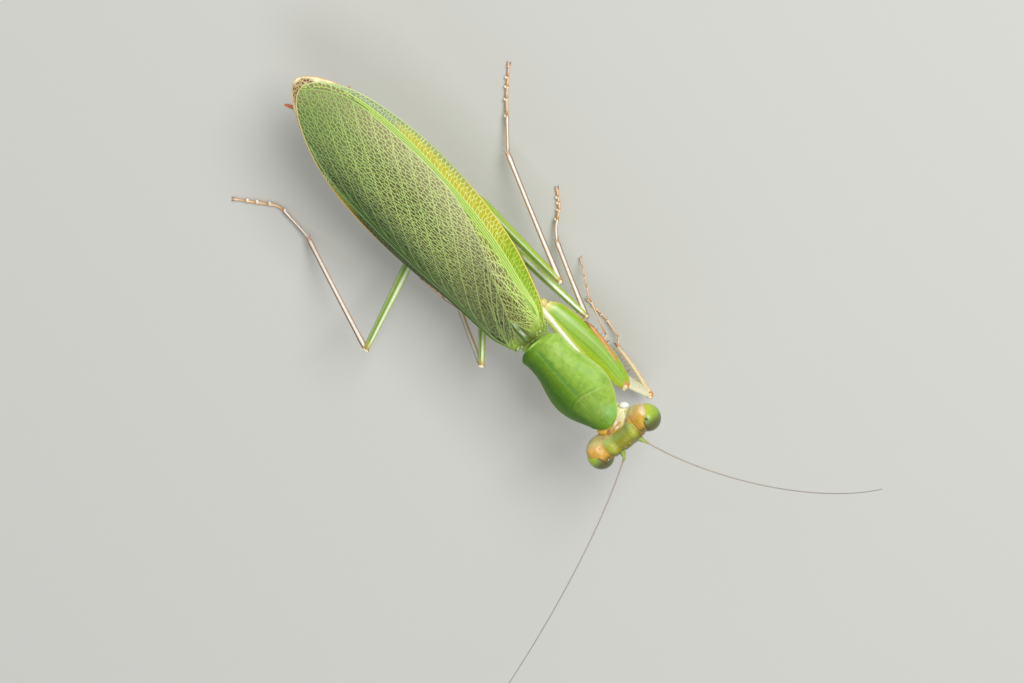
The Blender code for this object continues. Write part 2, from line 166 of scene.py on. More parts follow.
class Skin:
    """Points, faces and colours gathered for one piece, in millimetres."""

    def __init__(self):
        self.points = []
        self.faces = []
        self.tints = []

    def grid(self, rows, tints, caps=True):
        """Skins closed rows of equal length; caps fills the first and the last of them."""
        start, count = len(self.points), len(rows[0])
        for row, colours in zip(rows, tints):
            self.points.extend(row)
            self.tints.extend(colours)
        for i in range(len(rows) - 1):
            near = start + i * count
            for k in range(count):
                j = (k + 1) % count
                self.faces.append((near + k, near + j, near + count + j, near + count + k))
        if caps:
            last = start + (len(rows) - 1) * count
            self.faces.append(tuple(range(start + count - 1, start - 1, -1)))
            self.faces.append(tuple(range(last, last + count)))

    def plate(self, places, across, shape):
        """A closed plate. across gives the ways over it at a place, and shape gives the upper point,
        the lower point and the colour at a place and way."""
        rows, tints = [], []
        for place in places:
            upper, under, colours = zip(*(shape(place, way) for way in across(place)))
            rows.append(upper + under[::-1])
            tints.append(colours + colours[::-1])
        self.grid(rows, tints)

    def tube(self, path, wide, deep, tint, flat=UP, sides=12):
        """A closed tube. wide, deep and tint may be functions of the share along it and the turn
        round it, which is 0 towards flat."""
        wide, deep, tint = given(wide), given(deep), given(tint)
        rows, tints = [], []
        for i, point in enumerate(path):
            along = (path[min(i + 1, len(path) - 1)] - path[max(i - 1, 0)]).normalized()
            up = (flat - flat.dot(along) * along).normalized()
            side = up.cross(along)
            s = i / (len(path) - 1)
            turns = [2 * math.pi * k / sides for k in range(sides)]
            rows.append(
                [point + up * deep(s, t) * math.cos(t) + side * wide(s, t) * math.sin(t) for t in turns]
            )
            tints.append([tint(s, t) for t in turns])
        self.grid(rows, tints)

    def ball(self, centre, radii, tint, turn=None, rings=10, sides=14):
        """A closed ellipsoid; tint may be a function of the unit direction from its middle."""
        turn, tint = turn or Matrix.Identity(3), given(tint)
        rows, tints = [], []
        for i in range(rings):
            tilt = math.pi * (i + 0.5) / rings
            out, up = math.sin(tilt), math.cos(tilt)
            row = []
            for k in range(sides):
                t = 2 * math.pi * k / sides
                row.append(Vector((out * math.cos(t), out * math.sin(t), up)))
            rows.append([centre + turn @ Vector([a * b for a, b in zip(way, radii)]) for way in row])
            tints.append([tint(way) for way in row])
        self.grid(rows, tints)

    def cone(self, root, tip, radius, tints, sides, bend=None, steps=1):
        """A closed spine from root to tip, bent by the vector bend at its middle."""
        middle = (root + tip) / 2 + (bend or Vector())
        path = [root.lerp(middle, s).lerp(middle.lerp(tip, s), s) for s in spread(0, 1, steps + 1)]
        flat = UP if abs((tip - root).normalized().z) < 0.9 else Vector((1, 0, 0))

        def half(s, _):
            return radius * (1 - 0.9 * s)

        self.tube(path, half, half, lambda s, _: mix(tints[0], tints[1], s), flat, sides)


CREASE = math.radians(50)


def add_object(name, data):
    made = bpy.data.objects.new(name, data)
    bpy.context.scene.collection.objects.link(made)
    return made


def plan_map(mesh, points):
    """A map named OFBake that lays each point at its place as seen from above."""
    low = np.array([min(p[axis] for p in points) for axis in (0, 1)])
    high = np.array([max(p[axis] for p in points) for axis in (0, 1)])
    size = float((high - low).max()) or 1.0
    places = (np.array([(p[0], p[1]) for p in points]) - low) / size * 0.98 + 0.01
    corners = np.empty(len(mesh.loops), np.int32)
    mesh.loops.foreach_get("vertex_index", corners)
    layer = mesh.uv_layers.new(name="OFBake")
    layer.uv.foreach_set("vector", places[corners].astype(np.float32).ravel())


def piece(skin, name, material, nodes=(), plan=False):
    """Turns a skin into a named object in the shared frame that rides on the body."""
    mesh = bpy.data.meshes.new(name)
    mesh.from_pydata([(Vector(p) + SHIFT) * MM for p in skin.points], [], skin.faces)
    tint = mesh.color_attributes.new("tint", "FLOAT_COLOR", "POINT")
    tint.data.foreach_set("color", np.array([(*c, 1) for c in skin.tints], np.float32).ravel())
    bm = bmesh.new()
    bm.from_mesh(mesh)
    bmesh.ops.recalc_face_normals(bm, faces=bm.faces[:])
    bmesh.ops.triangulate(bm, faces=[face for face in bm.faces if len(face.verts) > 4])
    bm.to_mesh(mesh)
    bm.free()
    mesh.shade_smooth()
    mesh.set_sharp_from_angle(angle=CREASE)
    if plan:
        plan_map(mesh, skin.points)
    mesh.materials.append(material)
    made = add_object(name, mesh)
    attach(made, "root")
    if nodes:
        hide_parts(*nodes)


# Materials --------------------------------------------------------------------------------------


def set_inputs(tree, node, inputs):
    for name, value in inputs.items():
        if isinstance(value, bpy.types.NodeSocket):
            tree.links.new(value, node.inputs[name])
        else:
            node.inputs[name].default_value = value


def add_node(tree, kind, inputs, operation=None):
    """A new shader node, each input set to a value or fed from another node's socket."""
    node = tree.nodes.new(f"ShaderNode{kind}")
    if operation:
        node.operation = operation
    set_inputs(tree, node, inputs)
    return node


def ranged(tree, value, low, high):
    """The values of a noise, spread from low to high."""
    inputs = {"Value": value, "From Min": 0.3, "From Max": 0.7, "To Min": low, "To Max": high}
    return add_node(tree, "MapRange", inputs).outputs["Result"]


def cuticle(name, rough, mottle, grain, depth, coat, flesh, pits=0.0, shine=0.5):
    """Insect skin: its painted colour broken by mottling, a fine grain, pits and a thin waxy gloss."""
    material = bpy.data.materials.new(name)
    material.use_nodes = True
    tree = material.node_tree
    place = add_node(tree, "TexCoord", {}).outputs["Object"]
    spot = add_node(tree, "VectorMath", {0: place, "Scale": 1 / MM}, "SCALE").outputs["Vector"]
    broad = add_node(tree, "TexNoise", {"Vector": spot, "Scale": 1.3, "Detail": 3}).outputs["Fac"]
    fine = add_node(tree, "TexNoise", {"Vector": spot, "Scale": grain, "Detail": 4}).outputs["Fac"]
    painted = add_node(tree, "Attribute", {})
    painted.attribute_name = "tint"
    toned = {
        "Color": painted.outputs["Color"],
        "Hue": ranged(tree, broad, 0.494, 0.506),
        "Value": ranged(tree, fine, 1 - mottle, 1 + mottle),
    }
    height = fine
    if pits:
        dots = add_node(tree, "TexVoronoi", {"Vector": spot, "Scale": pits}).outputs["Distance"]
        height = add_node(tree, "Math", {0: fine, 1: dots}, "ADD").outputs["Value"]
    bump = add_node(tree, "Bump", {"Strength": 0.7, "Distance": depth * MM, "Height": height})
    surface = {
        "Base Color": add_node(tree, "HueSaturation", toned).outputs["Color"],
        "Roughness": ranged(tree, fine, *rough),
        "Normal": bump.outputs["Normal"],
        "Specular IOR Level": shine,
        "Coat Weight": coat,
        "Coat Roughness": 0.18,
        "Subsurface Weight": flesh,
        "Subsurface Radius": (1.0, 0.9, 0.35),
        "Subsurface Scale": 0.25 * MM,
    }
    set_inputs(tree, tree.nodes["Principled BSDF"], surface)
    return material


# Wings ------------------------------------------------------------------------------------------

WING_BASE_X = -0.45
WING_WIDEST_X = -9.6
WING_BASE_HALF = 1.38
WING_HALF = 2.80
ROOF_POWER = 2.4
RIGHT_TIP_X = -17.12
LEFT_TIP_X = -17.14
MARGIN_RADIUS = 0.034
MEMBRANE = 0.06
WING_ROWS = 260
WING_COLUMNS = 64

EDGE_Z = (
    (-17.8, 5.60), (-13.9, 5.41), (-10.2, 5.06), (-5.2, 4.93), (-3.9, 5.06), (-0.7, 6.02), (-0.4, 6.06),
)
CREST_Z = ((-17.8, 5.78), (-13.0, 5.98), (-7.0, 6.08), (-2.0, 6.38), (-0.4, 6.46))
SEAM_Y = (
    (-17.12, 0.03), (-17.05, 0.12), (-16.85, 0.37), (-16.47, 0.78), (-16.06, 1.09), (-15.4, 1.46),
    (-13.9, 1.84), (-10.2, 2.10), (-8.2, 2.02), (-7.2, 1.82), (-5.6, 1.38), (-4.0, 0.78), (-2.6, 0.26),
    (-1.9, 0.0),
)
COSTAL = {
    "left": (
        (-17.3, 0.06), (-16, 0.14), (-15, 0.26), (-13, 0.40), (-10, 0.54), (-6, 0.50), (-3, 0.42), (-1, 0.22),
    ),
    "right": ((-17.3, 0.05), (-15, 0.12), (-12.5, 0.26), (-10, 0.44), (-6, 0.38), (-3, 0.22), (-1, 0.14)),
}
FULLNESS = {"left": 2.3, "right": 1.9}
WAY = {"left": 1, "right": -1}


def lean(x):
    """The folded wings lie a little to the left towards their tips."""
    return 0.15 * ramp(-12.0, -17.0, x)


def wing_half(x, tip=HIND_END_X, fullness=FULLNESS["right"]):
    """Half the width of the folded wings; the greater the fullness, the squarer the tip."""
    if x < WING_WIDEST_X:
        back = min((WING_WIDEST_X - x) / (WING_WIDEST_X - tip), 1)
        return WING_HALF * (1 - back**fullness) ** 0.57
    forward = max((WING_BASE_X - x) / (WING_BASE_X - WING_WIDEST_X), 0)
    round_root = 0.34 * ramp(-1.9, WING_BASE_X, x) ** 1.3
    return WING_BASE_HALF + (WING_HALF - WING_BASE_HALF) * math.sin(forward * math.pi / 2) - round_root


def roof(x, y):
    """The surface on which the folded wings lie."""
    side = min(abs(y - lean(x)) / max(wing_half(x), 0.3), 1)
    edge, crest = curve(EDGE_Z, x), curve(CREST_Z, x)
    return edge + (crest - edge) * (1 - side**ROOF_POWER)


def shoulder(x, y):
    """The raised, rounded root of each forewing."""
    return 0.16 * bell(x, -0.74, 0.26) * bell(abs(y), 0.90, 0.22) - 0.16 * ramp(-0.8, -0.45, x)


def outer_edge(x, side, tip):
    return lean(x) + WAY[side] * wing_half(x, tip, FULLNESS[side])


def inner_edge(x):
    """Inner edge of a forewing in front, beside the triangle between the wings."""
    return 0.66 * max(1 + (x - WING_BASE_X) / 1.45, 0)


def right_inner(x):
    """The hind margin of the right forewing, which lies over the left one."""
    return curve(SEAM_Y, x) if x < -1.9 else -inner_edge(x)


def left_inner(x):
    if x > -1.9:
        return inner_edge(x)
    hidden = max(right_inner(x), 0) - 0.35 * ramp(-1.9, -3.0, x)
    return min(hidden, outer_edge(x, "left", LEFT_TIP_X) - 0.01)


def right_top(x, y):
    return roof(x, y) + shoulder(x, y)


def left_top(x, y):
    return roof(x, y) + shoulder(x, y) - 0.06 * ramp(-1.6, -2.6, x)


WINGS = {
    "right": (right_inner, right_top, RIGHT_TIP_X),
    "left": (left_inner, left_top, LEFT_TIP_X),
}


def radius_line(x, side, inboard=0.0):
    """The stout vein that runs along a forewing, inside its costal field."""
    tip = WINGS[side][2]
    return outer_edge(x, side, tip) - WAY[side] * (curve(COSTAL[side], x) + inboard)


# edge and costal are the right forewing's outer field and costal field, made near black with painted shade on
# the side away from the key light.
WINDOW = palette(
    base=(60, 48, 26), middle=(90, 88, 52), tip=(112, 128, 72), seam=(148, 144, 98), edge=(8, 34, 0),
    costal=(14, 28, 0), costal_grey=(136, 152, 106), costal_yellow=(172, 170, 16),
    costal_green=(128, 162, 2), medial=(116, 112, 50), bundle=(126, 166, 50), rust=(78, 56, 24),
    root=(140, 166, 60),
)
# dark is painted shade on the veins of the right forewing's outer side.
VEIN = palette(
    field=(182, 206, 122), fore=(146, 160, 98), tip=(166, 196, 112), dark=(46, 84, 18),
    seam=(214, 224, 158), bundle=(204, 228, 126), costal=(222, 232, 142), costal_front=(188, 210, 78),
    costal_rear=(204, 218, 160), root=(170, 194, 88),
)


def along_wing(x, colours, keys):
    """The named colours at the places of keys, blended at x."""
    return curve([(place, colours[name]) for place, name in keys], x)


def window_tint(x, y, side):
    """The colour of the membrane between the veins."""
    base = along_wing(
        x, WINDOW,
        ((-17.3, "tip"), (-14.5, "tip"), (-10, "middle"), (-6, "middle"), (-2.5, "base"), (-1, "base")),
    )
    inboard = (radius_line(x, side) - y) * WAY[side]
    if side == "right":
        toned = layered(
            base,
            (WINDOW["seam"], 0.8 * ramp(1.9, 0.1, right_inner(x) - y) * ramp(-4, -8, x)),
            # darker green deepened with painted shade over the outer field of the right wing, away from the
            # key light
            (WINDOW["edge"], 0.9 * ramp(1.9, 0.2, inboard) * ramp(-17.0, -10.5, x)),
        )
        # the right wing's costal field: near black with painted shade, yellow in one band and at the tip
        costal = layered(
            WINDOW["costal"],
            (WINDOW["costal_yellow"], 0.8 * bell(x, -11.6, 0.9)),
            (WINDOW["tip"], ramp(-12.5, -14.0, x)),
        )
    else:
        toned = layered(
            WINDOW["medial"],
            (base, ramp(-9, -14, x)),
            (WINDOW["rust"], 0.8 * ramp(0.35, 0.8, inboard) * ramp(-6.5, -3.0, x)),
            (WINDOW["bundle"], ramp(0.34, 0.24, inboard) * ramp(-15.6, -14.2, x)),
            (WINDOW["seam"], 0.7 * ramp(-14.4, -15.4, x)),
        )
        costal = along_wing(
            x, WINDOW,
            ((-17, "costal_grey"), (-13.2, "costal_grey"), (-12.0, "costal_yellow"),
             (-5.6, "costal_yellow"), (-4.2, "costal_green"), (-1, "costal_green")),
        )
        rim = (outer_edge(x, side, LEFT_TIP_X) - y) / curve(COSTAL[side], x)
        costal = mix(costal, WINDOW["costal_grey"], 0.75 * ramp(0.42, 0.2, rim) * ramp(-6.5, -9.5, x))
    return layered(toned, (costal, ramp(0.03, -0.03, inboard)), (WINDOW["root"], ramp(-1.25, -0.8, x)))


def vein_tint(x, y, side):
    inboard = (radius_line(x, side) - y) * WAY[side]
    if side == "right":
        toned = layered(
            VEIN["field"],
            (VEIN["seam"], 0.8 * ramp(1.9, 0.1, right_inner(x) - y) * ramp(-2, -6, x)),
            (VEIN["tip"], ramp(-12.5, -16.0, x)),
            # painted shade on the veins of the right wing's outer field
            (VEIN["dark"], 0.85 * ramp(2.3, 0.2, inboard) * ramp(-17.5, -11.0, x)),
            (VEIN["fore"], 0.75 * ramp(-8.0, -3.5, x)),
        )
    else:
        toned = layered(
            VEIN["bundle"],
            (VEIN["seam"], ramp(0.35, 0.7, inboard) * ramp(-2.5, -4.5, x)),
            (VEIN["fore"], 0.7 * ramp(0.45, 0.9, inboard) * ramp(-5.0, -2.5, x)),
        )
    return mix(toned, VEIN["root"], ramp(-1.3, -0.8, x))


MARGIN_SHADES = {
    "left": shades(
        (-17.4, 206, 222, 150), (-12, 186, 206, 140), (-9, 176, 192, 112), (-7, 226, 214, 110),
        (-2, 236, 208, 96), (-0.9, 190, 206, 100),
    ),
    # the right rim is darker from x = -8 to -4 with painted shade, on the side away from the key light
    "right": shades(
        (-17.3, 226, 206, 140), (-13, 214, 180, 84), (-10, 206, 160, 30), (-8, 110, 116, 30),
        (-4, 84, 110, 36), (-1, 140, 170, 70),
    ),
}


def membrane(side):
    """A forewing's thin plate, closed all round."""
    inner, top, tip = WINGS[side]

    def across(x):
        return eased(inner(x), outer_edge(x, side, tip), WING_COLUMNS)

    def shape(x, y):
        near = min(abs(y - inner(x)), abs(y - outer_edge(x, side, tip)))
        z = top(x, y)
        under = z - MEMBRANE * (0.4 + 0.6 * ramp(0, 0.2, near))
        return Vector((x, y, z)), Vector((x, y, under)), window_tint(x, y, side)

    skin = Skin()
    skin.plate(eased(WING_BASE_X, tip + 0.01, WING_ROWS, start=False), across, shape)
    return skin


def soft_over(line, trunk, softness):
    """The line, turned smoothly to run along the trunk in place of crossing it."""
    return trunk + softness * math.log(1 + math.exp(min((line - trunk) / softness, 40)))


def long_tint(x, y, side):
    """The long veins stay paler than the net where the right wing's outer side is darkened with painted
    shade.
    """
    toned = vein_tint(x, y, side)
    if side == "left":
        return toned
    return layered(toned, ((140, 184, 100), 0.40 * ramp(-1.8, -0.1, radius_line(x, side) - y)))


CROSSINGS = (-2.0, -3.2, -4.4, -5.6, -6.8, -8.0, -9.25, -10.55, -11.95, -13.5, -15.1, -16.6)


def field_veins(side):
    """Long veins leave the trunk one by one and run slantwise back to the hind margin.

    They are worked out for the right wing; the left one has their mirror image."""
    inner, _, tip = WINGS[side]
    way = WAY[side]
    veins = []
    for n, cross in enumerate(CROSSINGS):
        steep = mix(0.70, 0.44, n / (len(CROSSINGS) - 1))
        points = []
        for x in spread(-0.8, tip + 0.02, 220):
            line = steep * (cross - x) + 0.03 * noise.noise(Vector((x * 0.7, n * 3.1, 0)))
            trunk = max(-radius_line(x, side, 0.25) * way, -0.95 - 0.22 * n)
            spot = -soft_over(line, trunk, 0.15) * way
            inside = (inner(x) - spot) * -way > 0
            if line > trunk - 0.22 and inside:
                points.append((x, spot))
            elif points and not inside:
                break
        if len(points) > 4:
            veins.append(points)
    return veins


def fan_veins(side):
    """Short veins that fan out from the wing root across the dark field at its base."""
    inner = WINGS[side][0]
    way = WAY[side]
    fans = []
    for n in range(5):
        last_x = -1.7 - 0.85 * n
        reach = inner(last_x) + way * 0.03
        start = Vector((-0.85, way * (0.98 + 0.03 * n)))
        end = Vector((last_x, reach))
        middle = Vector((last_x * 0.62 - 0.25, mix(start.y, reach, 0.30)))
        fans.append([tuple(start.lerp(middle, s).lerp(middle.lerp(end, s), s)) for s in spread(0, 1, 24)])
    return fans


BUNDLE = {
    "left": ((0, 0.032, 1.5), (0.08, 0.024, 2.1), (0.155, 0.024, 3.0), (0.23, 0.024, 1.8)),
    "right": ((0, 0.036, 2.4), (0.13, 0.015, 5.0), (0.25, 0.022, 5.4)),
}


def long_veins(side):
    """(points, half width) of each long vein: the radius bundle and the field."""
    _, _, tip = WINGS[side]
    found = []
    for inboard, half_width, last in BUNDLE[side]:
        places = spread(-0.75, tip + last, 200)
        found.append(([(x, radius_line(x, side, inboard * ramp(-0.2, -3.5, x))) for x in places], half_width))
    found.extend((points, 0.025) for points in field_veins(side))
    found.extend((points, 0.024) for points in fan_veins(side))
    return found


CELL_LENGTH = (
    (-18.5, 0.30), (-15.5, 0.31), (-13, 0.33), (-9, 0.35), (-5, 0.36), (-3, 0.34), (-1, 0.22),
)
CELL_WIDTH = (
    (-18.5, 0.185), (-15.5, 0.17), (-13, 0.14), (-9, 0.118), (-5, 0.104), (-3, 0.098), (-1, 0.09),
)
CELL_TURN = math.radians(11)


def circumcentre(a, b, c):
    d = 2 * (a.x * (b.y - c.y) + b.x * (c.y - a.y) + c.x * (a.y - b.y)) or 1e-9
    aa, bb, cc = a.length_squared, b.length_squared, c.length_squared
    return (
        (aa * (b.y - c.y) + bb * (c.y - a.y) + cc * (a.y - b.y)) / d,
        (aa * (c.x - b.x) + bb * (a.x - c.x) + cc * (b.x - a.x)) / d,
    )


def voronoi_edges(seeds):
    """The edges of the Voronoi pattern of the seeds."""
    points, _, triangles, *_ = delaunay_2d_cdt(seeds, [], [], 0, 1e-5)
    centres = [circumcentre(*(points[i] for i in corners)) for corners in triangles]
    beside = {}
    for n, (i, j, k) in enumerate(triangles):
        for edge in ((i, j), (j, k), (k, i)):
            beside.setdefault(tuple(sorted(edge)), []).append(n)
    return [(centres[pair[0]], centres[pair[1]]) for pair in beside.values() if len(pair) == 2]


def cut_back(a, b, inside):
    """Where the way from a, which is inside, to b leaves the inside."""
    near, far = 0.0, 1.0
    for _ in range(8):
        half = (near + far) / 2
        spot = (a[0] + (b[0] - a[0]) * half, a[1] + (b[1] - a[1]) * half)
        near, far = (half, far) if inside(*spot) else (near, half)
    return (a[0] + (b[0] - a[0]) * near, a[1] + (b[1] - a[1]) * near)


def net_reach(x, side):
    """How far inside the radius the net of small cells ends."""
    if side == "left":
        return mix(0.23, -0.05, ramp(-14.9, -15.5, x))
    return mix(0.23, -0.10, ramp(-10.5, -12.5, x))


def cell_edges(side, lines):
    """The net of small cells: a Voronoi pattern whose cells lie across the long veins."""
    inner, _, tip = WINGS[side]
    way = WAY[side]
    long_way = Vector((math.cos(CELL_TURN), -way * math.sin(CELL_TURN)))
    short_way = Vector((-long_way.y, long_way.x))
    table_a = np.linspace(-19.5, 1.5, 700)
    lengths = np.array([curve(CELL_LENGTH, a) for a in table_a])
    table_u = np.cumsum((table_a[1] - table_a[0]) / lengths)

    def to_wing(u, v):
        a = float(np.interp(u, table_u, table_a))
        spot = long_way * a + short_way * v * curve(CELL_WIDTH, a)
        return spot.x, spot.y

    def inside(x, y):
        if not tip + 0.02 < x < -0.95:
            return False
        if (outer_edge(x, side, tip) - y) * way < 0.03:
            return False
        return (inner(x) - y) * -way > 0 and (radius_line(x, side, net_reach(x, side)) - y) * way > 0

    seeds = []
    for row, u in enumerate(np.arange(table_u[0], table_u[-1], 0.87)):
        a = float(np.interp(u, table_u, table_a))
        reach = 12.0 / curve(CELL_WIDTH, a)
        for v in np.arange(-reach, reach) + 0.5 * (row % 2):
            seed = Vector((u + CHANCE.uniform(-0.42, 0.42), v + CHANCE.uniform(-0.40, 0.40)))
            x, y = to_wing(*seed)
            if tip - 0.5 < x < -0.4 and abs(y) < WING_HALF + 0.4:
                seeds.append(seed)
    near_vein = KDTree(sum(len(points) for points, _ in lines))
    for count, (x, y) in enumerate(spot for points, _ in lines for spot in points):
        near_vein.insert((x, y, 0), count)
    near_vein.balance()
    edges = []
    for ends in voronoi_edges(seeds):
        a, b = (to_wing(*end) for end in ends)
        if not 0.01 < math.dist(a, b) < 0.9 or not (inside(*a) or inside(*b)):
            continue
        if not inside(*a):
            a, b = b, a
        if not inside(*b):
            b = cut_back(a, b, inside)
        if max(near_vein.find((*a, 0))[2], near_vein.find((*b, 0))[2]) > 0.05:
            edges.append((a, b))
    return edges


def ridge(skin, line, half_width, height, side, tint=vein_tint):
    """A low vein on a wing, along points given as (x, y)."""
    top = WINGS[side][1]
    rows, tints = [], []
    for i, (x, y) in enumerate(line):
        before, after = line[max(i - 1, 0)], line[min(i + 1, len(line) - 1)]
        along = Vector((after[0] - before[0], after[1] - before[1]))
        across = Vector((-along.y, along.x)).normalized() * half_width
        crown = top(x, y) + height * 0.85
        row = []
        for share, lifted in ((1, False), (0.45, True), (-0.45, True), (-1, False)):
            spot = (x + across.x * share, y + across.y * share)
            row.append(Vector((*spot, crown if lifted else top(*spot) - 0.006)))
        rows.append(row)
        tints.append([tint(x, y, side)] * 4)
    skin.grid(rows, tints, caps=False)


def costal_tint(x, _, side):
    """Costal veinlets: yellow in the middle of the wing, greener in front and greyer behind."""
    pale = layered(
        VEIN["costal"],
        (VEIN["costal_rear"], ramp(-11.5, -13, x)),
        (VEIN["costal_front"], ramp(-5.6, -4.4, x)),
    )
    # on the right wing, painted shade darkens the veinlets in front of x = -11.5
    return mix(pale, VEIN["dark"], 0.85 * ramp(-13.0, -11.5, x)) if side == "right" else pale


def costal_veinlets(skin, side):
    """Curled cross-veins between the radius and the front margin, with arches that join them."""
    tip = WINGS[side][2]
    way = WAY[side]

    def at(x, share):
        root = radius_line(x, side)
        return (x, root + (outer_edge(x, side, tip) - way * 0.02 - root) * share)

    x = -1.2
    while x > tip + (0.5 if side == "left" else 4.0):
        step = CHANCE.uniform(0.17, 0.29)
        curl = CHANCE.uniform(0.05, 0.12)
        split = CHANCE.uniform(0.40, 0.62)
        slant = 0.16 * step / 0.2
        spine = [at(x - slant * s - curl * math.sin(s * 5.2), s) for s in spread(0, split, 5)]
        ridge(skin, spine, 0.021, 0.018, side, costal_tint)
        fork_x, fork = spine[-1][0], split
        for turn in (1, -1):
            arm = [
                at(fork_x + turn * step * 0.5 * math.sin(s * 1.75), fork + (1 - fork) * s * (0.85 + 0.15 * s))
                for s in spread(0, 1, 6)
            ]
            ridge(skin, arm, 0.018, 0.016, side, costal_tint)
        if CHANCE.random() < 0.6:
            loop = [at(x - step * s, 0.36 + 0.10 * math.sin(s * math.pi)) for s in spread(0, 1, 6)]
            ridge(skin, loop, 0.017, 0.015, side, costal_tint)
        x -= step


def margin(skin, side):
    """The stout rim along a forewing's front edge and the finer one along its hind edge."""
    inner, top, tip = WINGS[side]
    path = []
    for x in eased(WING_BASE_X - 0.1, tip, WING_ROWS, start=False):
        y = outer_edge(x, side, tip)
        path.append(Vector((x, y, top(x, y) - 0.01)))
    skin.tube(
        path,
        lambda s, _: MARGIN_RADIUS * (0.7 + 0.3 * ramp(0, 0.05, s)),
        MARGIN_RADIUS * 0.9,
        lambda s, _: curve(MARGIN_SHADES[side], path[round(s * (WING_ROWS - 1))].x),
        sides=8,
    )
    if side == "right":
        line = [(x, inner(x)) for x in eased(-0.85, tip, 240, start=False)]
        ridge(skin, line, 0.032, 0.028, side)
        return
    ridge(skin, [(x, inner(x)) for x in spread(-0.85, -1.9, 30)], 0.03, 0.028, side)


def sway(a, b):
    """The middle of a vein of the net, a little off the straight way from a to b."""
    x, y = (a[0] + b[0]) / 2, (a[1] + b[1]) / 2
    off = 0.34 * noise.noise(Vector((x * 5, y * 5, 2)))
    return (x - (b[1] - a[1]) * off, y + (b[0] - a[0]) * off)


def make_forewings():
    skin_finish = cuticle(
        "wing_membrane", rough=(0.40, 0.55), mottle=0.20, grain=14, depth=0.005, coat=0.04, flesh=0,
        shine=0.35,
    )
    vein_finish = cuticle(
        "wing_vein", rough=(0.36, 0.48), mottle=0.06, grain=8, depth=0.003, coat=0.10, flesh=0, shine=0.4
    )
    for side in WINGS:
        piece(membrane(side), f"forewing_{side}", skin_finish, [f"tegmen_{side}"], plan=True)
        lines = long_veins(side)
        skin = Skin()
        for points, half_width in lines:
            ridge(skin, points, half_width, 0.030, side, long_tint)
        for a, b in cell_edges(side, lines):
            if side == "left" and min(a[1] - right_inner(a[0]), b[1] - right_inner(b[0])) < -0.1:
                continue
            ridge(skin, [a, sway(a, b), b], mix(0.022, 0.018, ramp(-7, -3, a[0])), 0.016, side)
        costal_veinlets(skin, side)
        margin(skin, side)
        piece(skin, f"forewing_veins_{side}", vein_finish, plan=True)


def hind_tint(x, y):
    """Dark brown cells in a cream net behind the wing tips, inside a cream rim edged with orange."""
    rim = wing_half(x) - abs(y - lean(x))
    gaps = noise.voronoi(Vector((x * 7.4, y * 7.4, 3)))[0]
    gap = gaps[1] - gaps[0]
    dark = mix(srgb(88, 64, 56), srgb(210, 182, 128), ramp(0.26, 0.10, gap))
    left, right = ramp(0.72, 0.9, y), ramp(-0.66, -0.84, y)
    edge = max(ramp(0.21, 0.14, rim), ramp(-17.42, -17.49, x), right, left)
    outermost = max(ramp(0.10, 0.06, rim), ramp(-17.54, -17.62, x))
    pale = mix(srgb(242, 230, 184), srgb(230, 176, 104), outermost)
    return mix(dark, layered(pale, ((206, 150, 80), 0.5 * right * ramp(0.22, 0.08, gap))), edge)


def make_hindwings():
    finish = cuticle(
        "hindwing_skin", rough=(0.34, 0.5), mottle=0.12, grain=10, depth=0.006, coat=0.12, flesh=0
    )
    for side, way in WAY.items():
        skin = Skin()
        for layer in range(2):

            def across(x):
                reach = max(wing_half(x) - 0.06 - 0.08 * layer, 0.02)
                return spread(lean(x), lean(x) + way * reach, 56)

            def shape(x, y):
                z = roof(x, y) - (0.10 + 0.09 * layer) - 0.012 * math.sin(y * 14) * (x > -17.2)
                return Vector((x, y, z)), Vector((x, y, z - 0.05)), hind_tint(x, y)

            skin.plate(eased(-9.5, HIND_END_X, 150, start=False), across, shape)
        piece(skin, f"hindwing_fold_{side}", finish, [f"hindwing_{side}"], plan=True)


make_forewings()
make_hindwings()


# Shield, trunk and neck -------------------------------------------------------------------------

SHIELD_REAR = -0.24
SHIELD_FRONT = 5.34
SHIELD_EDGE_Z = 5.85
SHIELD_ARCH = ((-0.24, 0.30), (0.1, 0.42), (0.7, 0.64), (2.8, 0.72), (4.4, 0.58), (5.34, 0.16))
SHIELD_PLATE = 0.14
SHIELD_PITCH = math.radians(5)
SHIELD_YAW = math.radians(2)
SHIELD_HALF = (
    (-0.24, 1.20), (0.2, 1.25), (0.6, 1.22), (1.1, 1.24), (1.5, 1.31), (2.0, 1.47), (2.6, 1.61), (3.1, 1.63),
    (3.6, 1.54), (4.0, 1.38), (4.4, 1.16), (4.8, 0.90), (5.34, 0.70),
)
SHIELD_FRAME = (
    Matrix.Translation((0, 0, SHIELD_EDGE_Z))
    @ Matrix.Rotation(SHIELD_YAW, 4, "Z")
    @ Matrix.Rotation(-SHIELD_PITCH, 4, "Y")
)
SULCUS_U = 3.22
DIMPLES = (
    (2.4, 0.72, 0.09), (2.9, -0.66, 0.12), (1.9, -0.6, 0.16), (1.4, 0.5, 0.15), (3.7, -0.5, 0.20),
    (2.62, 0.78, 0.05), (0.9, 0.45, 0.10), (2.3, -0.62, 0.10), (4.2, -0.72, 0.09), (3.45, -0.40, 0.12),
    (0.7, -0.72, 0.08),
)


def shield_half(u):
    front = min(max((SHIELD_FRONT + 0.01 - u) / 0.55, 0), 1)
    rear = min(max((u - SHIELD_REAR + 0.01) / 0.75, 0), 1)
    return curve(SHIELD_HALF, u) * math.sqrt(1 - (1 - front) ** 2) * (1 - (1 - rear) ** 3) ** 0.45


def sulcus(v):
    """Where the curved cross-groove lies: it bends forward on each side."""
    return SULCUS_U + 0.27 * min(abs(v), 1.2) ** 1.8


